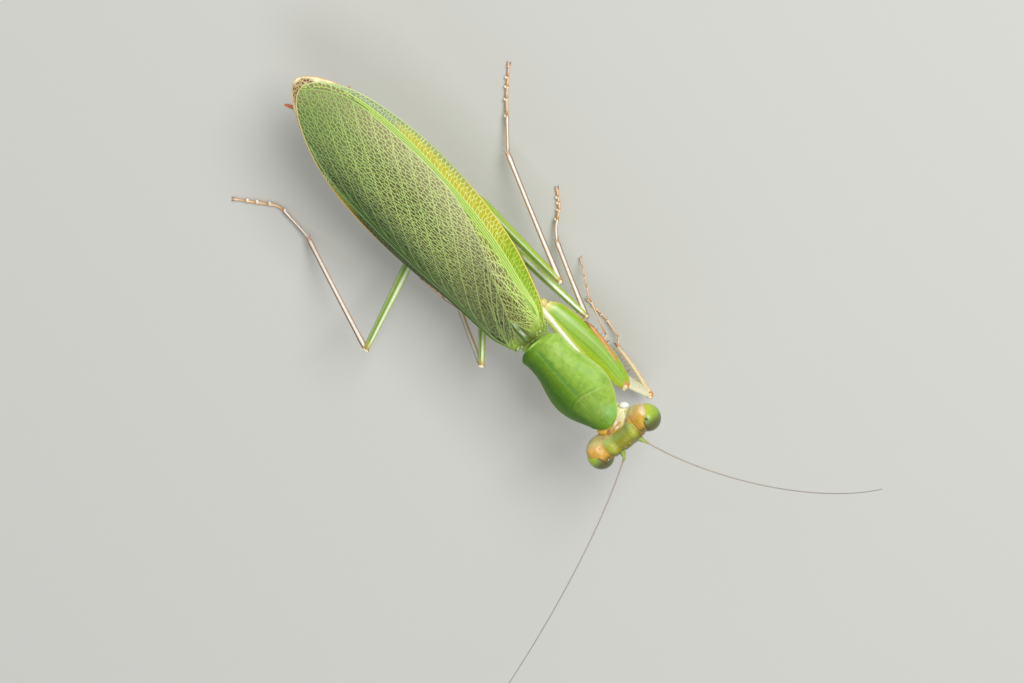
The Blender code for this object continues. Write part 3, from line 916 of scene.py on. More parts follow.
def shield_top(u, v):
    side = min(abs(v) / max(shield_half(u), 0.05), 1)
    z = 0.24 * ramp(0.55, -0.05, u) + 0.24 * ramp(4.3, 5.3, u) + curve(SHIELD_ARCH, u) * (1 - side**2.2)
    keel = ramp(0.0, 0.4, u) * ramp(5.0, 3.4, u)
    z += keel * (0.014 * bell(v, 0, 0.03) - 0.026 * bell(abs(v), 0.07, 0.04))
    z -= 0.030 * bell(u, sulcus(v) - 0.05, 0.06) * ramp(1.3, 0.8, abs(v))
    z += 0.022 * bell(u, sulcus(v) + 0.08, 0.10) * ramp(1.3, 0.8, abs(v))
    z -= 0.030 * bell(side, 0.92, 0.04) * ramp(5.2, 4.6, u) * ramp(0.1, 0.5, u)
    z += 0.020 * bell(u, SHIELD_REAR + 0.05, 0.06) - 0.035 * bell(u, SHIELD_REAR + 0.24, 0.10)
    for at, way, size in DIMPLES:
        z -= 0.20 * size * bell(u, at, size * 1.6) * bell(v, way, size)
    z += 0.010 * noise.noise(Vector((u * 1.9, v * 1.9, 1.7))) + 0.007 * noise.noise(Vector((u * 5, v * 5, 5)))
    return z + 0.004 * noise.noise(Vector((u * 14, v * 14, 2)))


# Colour across the shield from right to left: dark green to yellow-green, partly painted shade on the right
# and painted light on the left, towards the key light.
LIGHT_AND_SHADE_ACROSS_SHIELD = shades(
    (-1.4, 74, 116, 20), (-0.9, 62, 106, 6), (-0.4, 90, 132, 18), (0.0, 110, 150, 38),
    (0.4, 132, 170, 54), (0.9, 146, 186, 64), (1.5, 150, 188, 78),
)


def shield_tint(u, v):
    """Dark green on the right and yellow-green on the left, partly painted shade on the right and painted
    light on the left; clouded and flecked, with marked grooves, a painted shadow in the cross-groove and a
    painted sheen in front on the left.
    """
    side = min(abs(v) / max(shield_half(u), 0.05), 1)
    cloud = noise.noise(Vector((u * 1.6, v * 2.2, 4.0)))
    blotch = noise.noise(Vector((u * 4.2, v * 5.2, 2.0)))
    speck = noise.noise(Vector((u * 13, v * 13, 8.0)))
    groove = ramp(0.0, 0.4, u) * ramp(3.3, 3.0, u)
    beside = 0.05 + 0.32 * ramp(-0.8, 0.5, v)
    near = ramp(1.15, 0.7, abs(v))
    return layered(
        # painted shade on the right and painted light on the left
        curve(LIGHT_AND_SHADE_ACROSS_SHIELD, v),
        ((164, 198, 96), 0.4 * bell(u, 0.7, 0.9) * bell(v, 0.75, 0.45)),
        # a painted bluish-green sheen towards the front on the left
        ((130, 190, 124), 0.60 * bell(u, 4.65, 0.42) * bell(v, 0.55, 0.30)),
        ((150, 174, 70), 0.40 * ramp(3.3, 3.7, u) * ramp(4.9, 4.3, u) * ramp(-0.9, -0.2, v)),
        ((78, 128, 22), 0.22 * ramp(0.0, 0.5, cloud)),
        ((76, 128, 24), 0.14 * ramp(0.05, 0.5, blotch)),
        ((184, 208, 104), 0.14 * ramp(-0.1, -0.5, blotch) * ramp(-0.6, 0.4, v)),
        ((180, 204, 110), 0.14 * ramp(0.25, 0.6, speck)),
        ((66, 114, 16), 0.14 * ramp(-0.25, -0.6, speck)),
        ((58, 128, 60), 0.66 * groove * bell(v, 0.03, 0.05)),
        ((152, 190, 92), 0.30 * groove * bell(v, -0.055, 0.035)),
        ((96, 142, 52), 0.4 * ramp(3.3, 3.5, u) * ramp(5.0, 4.0, u) * bell(v, 0, 0.06)),
        ((182, 200, 124), beside * bell(u, sulcus(v) + 0.06, 0.05) * near),
        # a painted shadow line in the cross-groove
        ((70, 118, 26), 0.35 * bell(u, sulcus(v) - 0.04, 0.04) * near),
        ((176, 204, 104), 0.65 * ramp(0.955, 0.99, side)),
        ((170, 214, 100), 0.95 * ramp(SHIELD_REAR + 0.13, SHIELD_REAR + 0.05, u)),
    )


def make_shield():
    skin = Skin()

    def across(u):
        half = max(shield_half(u), 0.03)
        return eased(-half, half, 110)

    def shape(u, v):
        z = shield_top(u, v)
        rim = ramp(1.0, 0.9, abs(v) / max(shield_half(u), 0.03))
        under = z - 0.05 - (SHIELD_PLATE - 0.05) * rim
        return SHIELD_FRAME @ Vector((u, v, z)), SHIELD_FRAME @ Vector((u, v, under)), shield_tint(u, v)

    skin.plate(eased(SHIELD_REAR, SHIELD_FRONT, 200), across, shape)
    finish = cuticle(
        "shield", rough=(0.42, 0.58), mottle=0.08, grain=7, depth=0.010, coat=0.08, flesh=0.06, pits=6.5,
        shine=0.25,
    )
    piece(skin, "pronotum_shield", finish, ["pronotum"])


THORAX_X = 0.0
RING_SIDES = 72
PROTHORAX = (
    ((0, 0.64), (1.5, 0.66), (3.2, 1.02), (4.4, 0.82), (5.0, 0.60)),
    ((0, -1.02), (1.5, -0.98), (3.2, -1.26), (4.4, -0.95), (5.0, -0.62)),
    ((0, 0.10), (3.0, 0.18), (5.0, 0.0)),
)
TRUNK = (
    (
        (-15.9, 0.25), (-15.6, 0.66), (-15.0, 0.90), (-13.2, 1.30), (-11.0, 1.56), (-8.4, 1.56), (-6.5, 1.56),
        (-4.6, 1.52), (-2.5, 1.42), (-1.2, 1.05), (0, 0.64),
    ),
    (
        (-15.9, 3.85), (-15.2, 3.35), (-13.2, 2.76), (-11.0, 2.52), (-8.4, 2.74), (-6.4, 2.80), (-4.6, 2.86),
        (-3.0, 2.86), (-2.0, 3.42), (-1.3, 4.26), (0, 4.84),
    ),
    ((-15.9, 4.25), (-15.2, 4.45), (-8.4, 4.62), (-4.6, 5.25), (-2.5, 5.36), (-0.8, 5.78), (0, 5.94)),
)


def trunk_ring(x):
    """(half width, bottom, top) of the trunk at x, in the body's frame behind the pronotum's hind
    margin and in the pronotum's own frame before it."""
    return tuple(curve(keys, x) for keys in (PROTHORAX if x > THORAX_X else TRUNK))


ABDOMEN_SEGMENTS = (-9.0, -10.3, -11.5, -12.6, -13.6, -14.5, -15.2)
THORAX_SEAMS = (-2.2, -4.7, -6.6)


def trunk_groove(x):
    depth = sum(bell(x, seam, 0.09) for seam in ABDOMEN_SEGMENTS) * 0.055
    return depth + sum(bell(x, seam, 0.12) for seam in THORAX_SEAMS) * 0.05


def trunk_tint(x, turn):
    """Green flanks, a paler belly and pale hind rims on the rings of the abdomen."""
    up, across = math.sin(turn), math.cos(turn)
    rim = max(bell(x, seam + 0.13, 0.06) for seam in ABDOMEN_SEGMENTS)
    return layered(
        srgb(140, 172, 72),
        ((196, 208, 132), ramp(0.1, -0.8, up)),
        ((206, 196, 120), 0.6 * bell(across * across, 1.0, 0.25) * ramp(-8, -9, x)),
        ((224, 222, 156), 0.7 * rim),
        ((222, 190, 110), ramp(4.2, 5.0, x)),
    )


def squared(value, power):
    """A sine or cosine made fuller, so that a ring turns from an ellipse towards a rounded box."""
    return math.copysign(abs(value) ** (2 / power), value)


def make_trunk():
    skin = Skin()
    rows, tints = [], []
    turns = [2 * math.pi * k / RING_SIDES for k in range(RING_SIDES)]
    for x in spread(5.0, -15.9, 260):
        half, bottom, top = trunk_ring(x)
        middle, tall = (top + bottom) / 2, (top - bottom) / 2
        row = []
        for turn in turns:
            across, up = math.cos(turn), math.sin(turn)
            wobble = 0.02 * noise.noise(Vector((x * 1.5, across * 1.5, up * 1.5)))
            shrink = 1 - trunk_groove(x) - 0.05 * bell(up, 0.15, 0.10) * ramp(-7.5, -9, x) + wobble
            y = shrink * half * squared(across, 2.4)
            point = Vector((x, y, middle + shrink * tall * squared(up, 2.4)))
            row.append(SHIELD_FRAME @ point if x > THORAX_X else point)
        rows.append(row)
        tints.append([trunk_tint(x, turn) for turn in turns])
    skin.grid(rows, tints)
    for side in (1, -1):
        for seam in ABDOMEN_SEGMENTS[:-1]:
            half, bottom, top = trunk_ring(seam - 0.5)
            spot = Vector((seam - 0.5, side * half * 0.93, (bottom + top) / 2 + 0.1))
            skin.ball(spot, (0.06, 0.03, 0.09), srgb(150, 120, 60), rings=6, sides=8)
    finish = cuticle(
        "trunk_skin", rough=(0.38, 0.55), mottle=0.10, grain=6, depth=0.014, coat=0.12, flesh=0.25
    )
    piece(skin, "trunk_skin", finish, ["prothorax", "mesothorax", "metathorax", "abdomen"])


WING_KNOBS = (
    (-0.70, 0.98, 0.14, 0.04), (-0.54, 0.76, 0.11, 0.09), (-0.50, 0.52, 0.08, 0.14),
    (-0.50, 1.14, 0.09, 0.14), (-0.44, 0.92, 0.07, 0.15), (-0.74, 1.20, 0.08, 0.08),
    (-0.60, 0.62, 0.07, 0.06), (-0.40, 1.04, 0.05, 0.18),
)


def scutellum_half(x):
    return max(inner_edge(x) - 0.01, 0.02)


def scutellum_point(x, y):
    """(upper point, lower point, colour) of the plate between the wing roots."""
    z = curve(CREST_Z, x) + 0.02 - 0.1 * y * y - 0.34 * ramp(-0.80, -0.22, x)
    z += 0.04 * bell(y, 0, 0.07) - 0.05 * bell(abs(y), 0.16, 0.07) * ramp(-0.2, -0.45, x)
    z += 0.05 * bell(x, -0.60, 0.08) * bell(y, 0, 0.10)
    z -= 0.05 * bell(x, -0.42, 0.05) + 0.02 * noise.noise(Vector((x * 5, y * 5, 0)))
    tint = layered(
        srgb(92, 108, 32),
        ((122, 142, 54), ramp(0.1, 0.6, abs(y))),
        ((78, 130, 70), 0.7 * bell(y, 0, 0.05) * ramp(-0.3, -0.5, x)),
        ((144, 176, 92), 0.7 * ramp(0.05, 0.0, scutellum_half(x) - abs(y))),
    )
    return Vector((x, y, z)), Vector((x, y, z - 0.30)), tint


def make_scutellum():
    """The plates between the wing roots, with the small glossy knobs on which the wings turn."""
    skin = Skin()
    places = eased(-0.20, -1.92, 60)
    skin.plate(places, lambda x: eased(-scutellum_half(x), scutellum_half(x), 44), scutellum_point)
    for side in (1, -1):
        for x, y, size, low in WING_KNOBS:
            skin.ball(
                Vector((x, side * y, roof(-0.7, y) - low)),
                (size, size * 0.8, size * 0.7),
                # each knob is paler on top: a painted highlight
                lambda way: layered(srgb(112, 140, 46), ((194, 210, 132), ramp(0.6, 1, way.z))),
            )
    gloss = cuticle(
        "scutellum", rough=(0.26, 0.42), mottle=0.12, grain=8, depth=0.014, coat=0.35, flesh=0.05
    )
    piece(skin, "scutellum_plate", gloss, ["mesonotum"])


def neck_tint(s, t):
    """Cream on the left, saffron on top and to the right, brown in the folds, with a painted white highlight
    on top.
    """
    across = math.sin(t)
    left = ramp(0.0, 0.6, across)
    return layered(
        srgb(208, 170, 88),
        ((232, 226, 176), left),
        ((208, 164, 54), 0.8 * ramp(-0.35, -0.8, across)),
        ((160, 104, 56), (0.60 - 0.54 * left) * ramp(0.0, -0.8, neck_fold(s, t))),
        # a painted white glint on top of the neck, a little left of the middle
        ((248, 240, 226), 0.95 * bell(s, 0.62, 0.10) * bell(across, 0.14, 0.12)),
    )


def neck_fold(s, t):
    """The wrinkles that run round the neck, between -1 and 1."""
    stray = 4.2 * noise.noise(Vector((s * 6, math.cos(t) * 3.4, math.sin(t) * 3.4)))
    patch = ramp(-0.35, 0.15, noise.noise(Vector((s * 5, math.cos(t) * 3, math.sin(t) * 3 + 7))))
    return patch * math.sin(s * 46 + 2.0 * math.sin(t * 2) + stray)


NECK_WIDE = ((0, 0.66), (0.45, 0.96), (0.70, 1.10), (0.85, 0.94), (1, 0.60))
NECK_DEEP = ((0, 0.40), (0.45, 0.43), (0.7, 0.40), (0.85, 0.32), (1, 0.14))
NECK_PLATES = (
    ((4.98, 1.20, 6.00), (0.26, 0.16, 0.11), 0.95, srgb(250, 250, 240)),
    ((5.42, 1.00, 5.98), (0.20, 0.22, 0.10), 0.5, srgb(226, 218, 152)),
    ((5.52, 0.42, 6.22), (0.07, 0.18, 0.05), 0.1, srgb(224, 174, 92)),
    # not a plate: a small pinkish-white painted glint on top of the neck
    ((5.62, 0.18, 6.20), (0.05, 0.15, 0.05), 0.1, srgb(250, 240, 228)),
    ((5.34, -0.54, 6.14), (0.17, 0.28, 0.09), -0.7, srgb(214, 172, 54)),
    ((5.56, -0.28, 6.18), (0.10, 0.13, 0.05), 0.4, srgb(178, 118, 72)),
)


def make_neck():
    """The soft neck: folds of cream and orange skin, with small plates set in it and a small white painted
    glint among them.
    """
    skin = Skin()
    start, end = Vector((4.55, 0.16, 5.68)), Vector((5.98, 0.16, 5.88))

    def fold(s, t):
        bumps = noise.noise(Vector((s * 6, math.cos(t) * 3, math.sin(t) * 3)))
        return 1 + 0.022 * neck_fold(s, t) + 0.05 * bumps

    skin.tube(
        run(start, end, 110),
        lambda s, t: curve(NECK_WIDE, s) * fold(s, t),
        lambda s, t: curve(NECK_DEEP, s) * fold(s, t),
        neck_tint,
        sides=96,
    )
    for spot, size, turned, tint in NECK_PLATES:
        skin.ball(Vector(spot), size, tint, Matrix.Rotation(turned, 3, "Z"))
    finish = cuticle(
        "neck_skin", rough=(0.34, 0.5), mottle=0.06, grain=6, depth=0.010, coat=0.25, flesh=0.12
    )
    piece(skin, "neck_skin", finish, ["neck"])


# Head -------------------------------------------------------------------------------------------

HEAD_FRAME = (
    Matrix.Translation((6.28, 0.12, 6.22))
    @ Matrix.Rotation(math.radians(-6), 4, "X")
    @ Matrix.Rotation(math.radians(-6), 4, "Y")
)
HEAD_SIDE = 1.90
MOUTH_Z = -2.05
EYE_Y = 1.55
EYE_X = -0.09
EYE_HALVES = (0.70, 0.66, 0.74)
EYE_DROP = -0.08
HEAD_TURN = HEAD_FRAME.to_3x3()
HEAD_FRONT = (
    (0, 0.52), (0.5, 0.52), (0.8, 0.48), (1.1, 0.41), (1.36, 0.42), (1.42, 0.32), (1.47, 0.20), (1.55, 0.08),
    (1.69, -0.08), (1.80, -0.22), (1.87, -0.35), (1.90, -0.55),
)
HEAD_REAR = (
    (0, -0.54), (0.45, -0.63), (0.75, -0.81), (1.05, -0.98), (1.3, -1.02), (1.55, -0.97), (1.72, -0.88),
    (1.83, -0.76), (1.90, -0.62),
)
HEAD_TOP = (
    (0, 0.54), (0.45, 0.50), (0.66, 0.54), (0.95, 0.53), (1.1, 0.60), (1.3, 0.69), (1.5, 0.71), (1.7, 0.68),
    (1.80, 0.62), (1.87, 0.45), (1.90, 0.20),
)
HEAD_BOTTOM = (
    (0, -2.12), (0.30, -2.10), (0.48, -1.90), (0.75, -1.22), (1.0, -0.86), (1.3, -0.66), (1.6, -0.50),
    (1.82, -0.30), (1.90, -0.08),
)


def head_point(y, turn):
    """A point of the head's surface; the turn is 0 in front and a quarter on top."""
    side = abs(y)
    bottom, top = curve(HEAD_BOTTOM, side), curve(HEAD_TOP, side)
    fore, rear = curve(HEAD_FRONT, side), curve(HEAD_REAR, side)
    front, up = math.cos(turn), math.sin(turn)
    x = (fore + rear) / 2 + (fore - rear) / 2 * squared(front, 2.35)
    z = (top + bottom) / 2 + (top - bottom) / 2 * squared(up, 2.35)
    above = ramp(-0.5, 0.2, z)
    swell = 0.030 * bell(side, 0.62, 0.22) - 0.035 * bell(side, 0.98, 0.045) - 0.018 * bell(side, 0.36, 0.05)
    x += swell * above * front
    z += swell * above * up
    z -= 0.03 * bell(math.hypot(x + 0.42, side - 1.20), 0.0, 0.10) * above
    if front > 0:
        x += 0.05 * ramp(0.52, 0.44, side) * ramp(-0.95, -0.85, z) * ramp(-0.25, -0.40, z)
        x -= 0.06 * bell(z, -1.02, 0.05) * ramp(0.6, 0.4, side)
        x -= 0.04 * bell(z, -1.52, 0.05) * ramp(0.5, 0.3, side)
        x -= 0.10 * bell(side, 0.59, 0.16) * bell(z, -0.12, 0.20)
        x += 0.06 * bell(side, 0, 0.22) * bell(z, 0.20, 0.16)
        x -= 0.12 * ramp(-1.2, -2.1, z)
    x += 0.012 * noise.noise(Vector((y * 3, x * 3, z * 3)))
    return Vector((x, y, z))


def ochre_tint(x, y, side):
    """The lobe behind an eye: ochre in front and paler behind, the right one more orange, with painted shade
    on its front.
    """
    seam = ramp(-0.66, -0.44, x)
    pale = ramp(-0.66, -0.88, x + 0.12 * ramp(1.2, 1.5, side))
    orange = 0.0
    if y < 0:
        orange = 0.5 * seam
        pale = max(pale, 0.9 * ramp(-0.34, -0.62, x + 0.55 * (side - 0.95)))
    return layered(
        srgb(218, 176, 98),
        ((206, 162, 44), seam),
        ((206, 150, 60), orange),
        ((230, 216, 152) if y > 0 else (206, 198, 134), 0.95 * pale),
        ((220, 162, 80), 0.4 * bell(math.hypot(side - 1.25, x + 0.62), 0.0, 0.16)),
        # painted shade on the front of the lobe
        ((116, 98, 40), 0.9 * ramp(-0.04, 0.20, x)),
    )


def head_tint(point):
    """Yellow-olive on top, ochre behind each eye, cream behind and green down the face, with painted shade on
    the upper front of the face.
    """
    x, y, z = point
    side = abs(y)
    above = ramp(-0.45, 0.1, z)
    lobe = bell(math.hypot((x + 0.08) / 1.4, side - 0.66), 0, 0.26)
    across = side + 0.24 * ramp(-0.30, -0.75, x) + 0.03 * noise.noise(Vector((x * 6, y * 6, 1)))
    patch = math.hypot((x + 0.56) / 0.26, (side - 1.78) / 0.13)
    freckle = noise.noise(Vector((x * 9, y * 9, z * 9)))
    front_shade = ramp(0.14, 0.44, x + 0.3 * ramp(0.7, 1.0, side)) * ramp(-0.5, 0.0, z)
    return layered(
        srgb(140, 140, 24),
        ((178, 184, 60), lobe),
        ((126, 128, 26), 0.35 * bell(side, 0.38, 0.05) * ramp(-0.2, 0.0, x)),
        ((174, 202, 114), 0.85 * ramp(-0.08, -0.42, x + 0.10 * side)),
        # painted shade on the upper front of the face
        ((112, 100, 40), 0.80 * front_shade),
        ((222, 200, 142), 0.9 * ramp(-0.46, -0.60, x + 0.16 * ramp(0.5, 0.9, side)) * above),
        (ochre_tint(x, y, side), ramp(0.86, 1.06, across) * above),
        ((186, 136, 50), 0.35 * bell(across, 0.97, 0.06) * above),
        ((236, 214, 166) if y > 0 else (190, 146, 62), 0.9 * ramp(1.3, 0.6, patch) * above),
        ((140, 112, 44), 0.16 * ramp(0.15, 0.5, freckle)),
        ((154, 184, 84), ramp(-0.2, -0.7, z)),
        ((206, 214, 150), 0.6 * ramp(-1.2, -1.9, z)),
    )


def on_head(x, y, z):
    return HEAD_FRAME @ Vector((x, y, z))


def make_mouth(skin):
    """The pointed jaws and the palps beside them, with the lip in front."""
    for side in (1, -1):
        skin.tube(
            [
                on_head(0.04 + 0.06 * s, side * (0.40 - 0.34 * s * s), MOUTH_Z - 0.30 * s - 0.05)
                for s in spread(0, 1, 12)
            ],
            lambda s, _: 0.13 * (1 - 0.75 * s),
            lambda s, _: 0.20 * (1 - 0.6 * s),
            lambda s, _: mix(srgb(190, 200, 120), RUST, ramp(0.6, 1, s)),
            HEAD_TURN @ Vector((1, 0, 0)),
        )
        for reach, root, count in ((0.95, 0.36, 5), (0.62, 0.22, 3)):
            palp(skin, side, reach, root, count)
    skin.tube(
        [on_head(0.30 - 0.08 * s, 0, MOUTH_Z + 0.42 - 0.72 * s) for s in spread(0, 1, 24)],
        lambda s, _: 0.30 * (1 - 0.35 * s**3) * min(math.sqrt(max(1 - s, 0.0) / 0.15 + 0.02), 1),
        0.07,
        lambda s, _: mix(srgb(160, 190, 96), srgb(204, 206, 150), s),
        HEAD_TURN @ Vector((1, 0, 0)),
        24,
    )


def make_head():
    skin = Skin()
    rows, tints = [], []
    for y in eased(-HEAD_SIDE, HEAD_SIDE, 190):
        raw = [head_point(y, 2 * math.pi * k / 90) for k in range(90)]
        rows.append([HEAD_FRAME @ point for point in raw])
        tints.append([head_tint(point) for point in raw])
    skin.grid(rows, tints)
    for x, y, z in ((0.42, 0, 0.14), (0.30, 0.15, 0.34), (0.30, -0.15, 0.34)):
        skin.ball(on_head(x, y, z), (0.05, 0.045, 0.045), srgb(186, 180, 100), HEAD_TURN)
    for side in (1, -1):
        eye_rim(skin, side)
        skin.ball(on_head(0.26, side * 1.22, 0.44), (0.035, 0.03, 0.03), WHITE, HEAD_TURN, 6, 8)
    make_mouth(skin)
    finish = cuticle(
        "head_skin", rough=(0.34, 0.5), mottle=0.09, grain=9, depth=0.010, coat=0.18, flesh=0.06, pits=9
    )
    piece(skin, "head_skin", finish, ["head", "mouthparts"])


def on_eye(x, y_share, side):
    """A point on the eye's upper surface, from its place along and across the head."""
    left = max(1 - ((x - EYE_X) / EYE_HALVES[0]) ** 2 - y_share**2, 0)
    y = side * (EYE_Y + y_share * EYE_HALVES[1])
    return on_head(x, y, EYE_DROP + EYE_HALVES[2] * math.sqrt(left))


EYE_LINES = (
    (((-0.10, -0.06), (0.02, -0.14), (0.14, -0.18), (0.28, -0.19), (0.40, -0.16)), srgb(104, 50, 24)),
    (((-0.62, 0.46), (-0.50, 0.46), (-0.38, 0.36), (-0.26, 0.22)), srgb(212, 196, 96)),
)


def eye_rim(skin, side):
    """The thin dark-red line along the front half of the eye's inner edge, and a paler one behind."""
    for keys, tint in EYE_LINES:
        path = [on_eye(x, curve(keys, x), side) for x in spread(keys[0][0], keys[-1][0], 30)]
        skin.tube(path, 0.026, 0.022, tint, sides=8)


def palp(skin, side, reach, root, count):
    """A jointed feeler beside the mouth."""
    path, radii = [], []
    for s in spread(0, 1, 8 * count + 1):
        y = side * (root + 0.10 * math.sin(s * 2.4))
        path.append(on_head(0.10 + math.sin(s * math.pi) * 0.16, y, MOUTH_Z + 0.10 - reach * 0.75 * s))
        radii.append(0.062 * (0.75 + 0.25 * abs(math.sin(s * count * math.pi))) * min(1, (1.04 - s) * 8))

    def size(s, _):
        return radii[round(s * (len(path) - 1))]

    def tint(s, _):
        return mix(srgb(184, 204, 116), srgb(196, 170, 96), s)

    skin.tube(path, size, size, tint, Vector((1, 0, 0)), 10)


EYE_SPOT = Vector((-0.07, 0.22, 0.972)).normalized()


def eye_tint(way):
    """Yellow-green above and behind, olive in front and below."""
    return layered(
        srgb(100, 108, 48),
        ((146, 180, 50), ramp(-0.35, 0.35, -way.x * 0.7 + abs(way.y) * 0.35)),
        ((206, 214, 64), 0.85 * ramp(-0.1, 0.8, -way.x * 0.9 + way.z * 0.1)),
        ((92, 94, 52), 0.8 * ramp(0.05, 0.65, way.x)),
        ((38, 30, 18), bell((way - EYE_SPOT).length, 0, 0.13)),
    )


def make_eyes():
    finish = cuticle(
        "eye_cornea", rough=(0.30, 0.40), mottle=0.05, grain=5, depth=0.002, coat=0.12, flesh=0.1, pits=20
    )
    for name, side in WAY.items():
        skin = Skin()
        middle = on_head(EYE_X, side * EYE_Y, EYE_DROP)
        skin.ball(middle, EYE_HALVES, eye_tint, HEAD_TURN, rings=64, sides=96)
        piece(skin, f"eye_dome_{name}", finish, [f"eye_{name}"])


# Feelers and cerci ------------------------------------------------------------------------------

FEELERS = {
    "left": ((6.95, 0.80, 6.22), (10.2, 2.2, 7.0), (14.2, 5.9, 8.1), (15.5, 9.3, 8.6)),
    "right": ((6.92, -0.52, 6.22), (9.0, -3.8, 7.2), (10.9, -9.0, 8.3), (12.0, -12.8, 8.9)),
}
CERCI = {
    "left": ((-15.3, 1.0, 4.20), (-15.50, 1.46, 4.60)),
    "right": ((-15.4, -0.80, 4.20), (-16.88, -1.70, 4.50)),
}
RINGLET = 0.13
CERCUS_RINGS = 11
SCAPE_WIDE = ((0, 0.17), (0.2, 0.16), (0.75, 0.115), (0.85, 0.085), (1, 0.08))
SCAPE_DEEP = ((0, 0.16), (0.2, 0.155), (0.75, 0.115), (0.85, 0.085), (1, 0.08))


def make_feeler(side, finish):
    """The stalk, the short second joint and the long beaded whip."""
    skin = Skin()
    keys = FEELERS[side]
    base = on_head(0.30, WAY[side] * 0.50, -0.04)
    joint = on_head(0.74, WAY[side] * 0.68, 0.02)
    whip = (Vector(keys[0]).lerp(joint, 0.75),) + keys[1:]
    skin.tube(
        run(base, joint, 16),
        lambda s, _: curve(SCAPE_WIDE, s),
        lambda s, _: curve(SCAPE_DEEP, s),
        lambda s, _: mix(srgb(116, 148, 52), srgb(164, 180, 90), s),
        sides=20,
    )
    skin.tube(
        run(joint, Vector(bezier(whip, 0.022)), 10),
        lambda s, _: 0.075 - 0.025 * s,
        lambda s, _: 0.075 - 0.025 * s,
        lambda s, _: mix(srgb(150, 180, 84), srgb(186, 150, 110), s),
        sides=16,
    )
    path = [Vector(bezier(whip, 0.02 + 0.98 * s)) for s in spread(0, 1, 421)]
    length = sum((b - a).length for a, b in zip(path, path[1:]))

    def bead(s):
        return abs(math.sin(s * length / RINGLET * math.pi))

    def thick(s, _):
        return (0.044 - 0.022 * s) * (0.86 + 0.14 * bead(s))

    def tint(s, _):
        plain = mix(srgb(160, 148, 136), srgb(108, 100, 94), ramp(0.3, 1.0, s))
        return mix(plain, srgb(214, 208, 198), 0.45 * bead(s))

    skin.tube(path, thick, thick, tint, sides=8)
    piece(skin, f"feeler_{side}", finish, [f"antenna_{side}"])


def make_cercus(side, finish):
    """A ringed, hairy tail feeler."""
    skin = Skin()
    root, tip = (Vector(p) for p in CERCI[side])
    along = (tip - root).normalized()

    def middle(s):
        return root.lerp(tip, s) + Vector((0, 0, 0.08 * math.sin(s * math.pi)))

    def ring(s):
        return abs(math.sin(s * CERCUS_RINGS * math.pi))

    def thick(s, _):
        return 0.17 * (1 - 0.55 * s) * (0.84 + 0.16 * ring(s)) * min(1, (1.03 - s) * 12)

    def tint(s, _):
        return mix(srgb(200, 180, 90), srgb(222, 128, 78), ramp(0.1, 0.8, s)) * (0.8 + 0.2 * ring(s))

    skin.tube([middle(s) for s in spread(0, 1, 66)], thick, thick, tint, sides=16)
    for _ in range(70):
        s = CHANCE.uniform(0.05, 0.97)
        around = CHANCE.uniform(0, 2 * math.pi)
        across = Vector((0, math.cos(around), math.sin(around)))
        spot = middle(s) + across * thick(s, 0) * 0.9
        end = spot + (across + along * 0.9).normalized() * CHANCE.uniform(0.14, 0.24)
        skin.cone(spot, end, 0.010, (srgb(226, 190, 130), srgb(240, 226, 190)), 4)
    piece(skin, f"cercus_ringed_{side}", finish, [f"cercus_{side}"], plan=True)


def make_feelers():
    finish = cuticle(
        "feeler", rough=(0.4, 0.55), mottle=0.12, grain=12, depth=0.004, coat=0.15, flesh=0.1
    )
    for side in WAY:
        make_feeler(side, finish)
        make_cercus(side, finish)


# Legs -------------------------------------------------------------------------------------------

LEGS = {
    "fore_left": (
        (3.25, 0.62, 4.62), (-1.12, 0.88, 3.92), (4.78, 1.08, 4.05), (1.25, 1.76, 3.70),
        (2.26, 1.92, 3.45), (0.45, 2.03, 2.0), (-0.95, 2.27, 0.07),
    ),
    "fore_right": (
        (3.25, -0.62, 4.62), (0.75, -1.25, 2.75), (6.45, 0.55, 1.40), (3.60, 0.75, 0.75),
        (3.35, 1.0, 0.45), (2.3, 1.05, 0.12), (0.9, 1.0, 0.10),
    ),
    "mid_left": (
        (-2.9, 0.72, 2.80), (-3.9, 1.0, 2.30), (0.96, 1.61, 2.90), (-2.46, 2.21, 0.66),
        (-3.00, 2.58, 0.44), (-3.60, 3.34, 0.16), (-4.40, 3.90, 0.10),
    ),
    "mid_right": (
        (-2.9, -0.72, 2.80), (-3.9, -1.0, 2.30), (-0.71, -3.59, 4.60), (-2.85, -4.24, 0.56),
        (-3.02, -4.33, 0.42), (-3.80, -4.66, 0.14), (-5.15, -4.80, 0.10),
    ),
    "hind_left": (
        (-6.3, 0.85, 2.80), (-7.5, 1.35, 2.20), (-1.49, 2.53, 4.40), (-7.47, 3.60, 0.84),
        (-7.66, 3.75, 0.72), (-9.60, 5.35, 0.14), (-10.72, 6.57, 0.10),
    ),
    "hind_right": (
        (-6.3, -0.85, 2.80), (-7.5, -1.45, 2.20), (-4.95, -7.69, 4.40), (-10.45, -7.67, 0.54),
        (-10.70, -7.68, 0.42), (-12.65, -7.78, 0.14), (-14.40, -9.40, 0.10),
    ),
}
FORE_BLADE = (
    (0, 0.30), (0.05, 0.48), (0.10, 0.60), (0.25, 0.69), (0.38, 0.69), (0.65, 0.61), (0.88, 0.44),
    (0.95, 0.36), (1, 0.24),
)
FORE_FEMUR = ((0, 0.16), (0.06, 0.21), (0.25, 0.25), (0.7, 0.21), (0.93, 0.17), (1, 0.12))
FORE_COXA_WIDE = ((0, 0.30), (0.12, 0.30), (0.5, 0.27), (0.9, 0.22), (1, 0.18))
FORE_COXA_DEEP = ((0, 0.30), (0.12, 0.30), (0.5, 0.28), (0.9, 0.27), (1, 0.20))
FORE_SHIN_WIDE = ((0, 0.14), (0.06, 0.15), (0.4, 0.13), (0.9, 0.10), (1, 0.08))
FORE_SHIN_DEEP = ((0, 0.15), (0.06, 0.18), (0.4, 0.155), (0.9, 0.12), (1, 0.09))
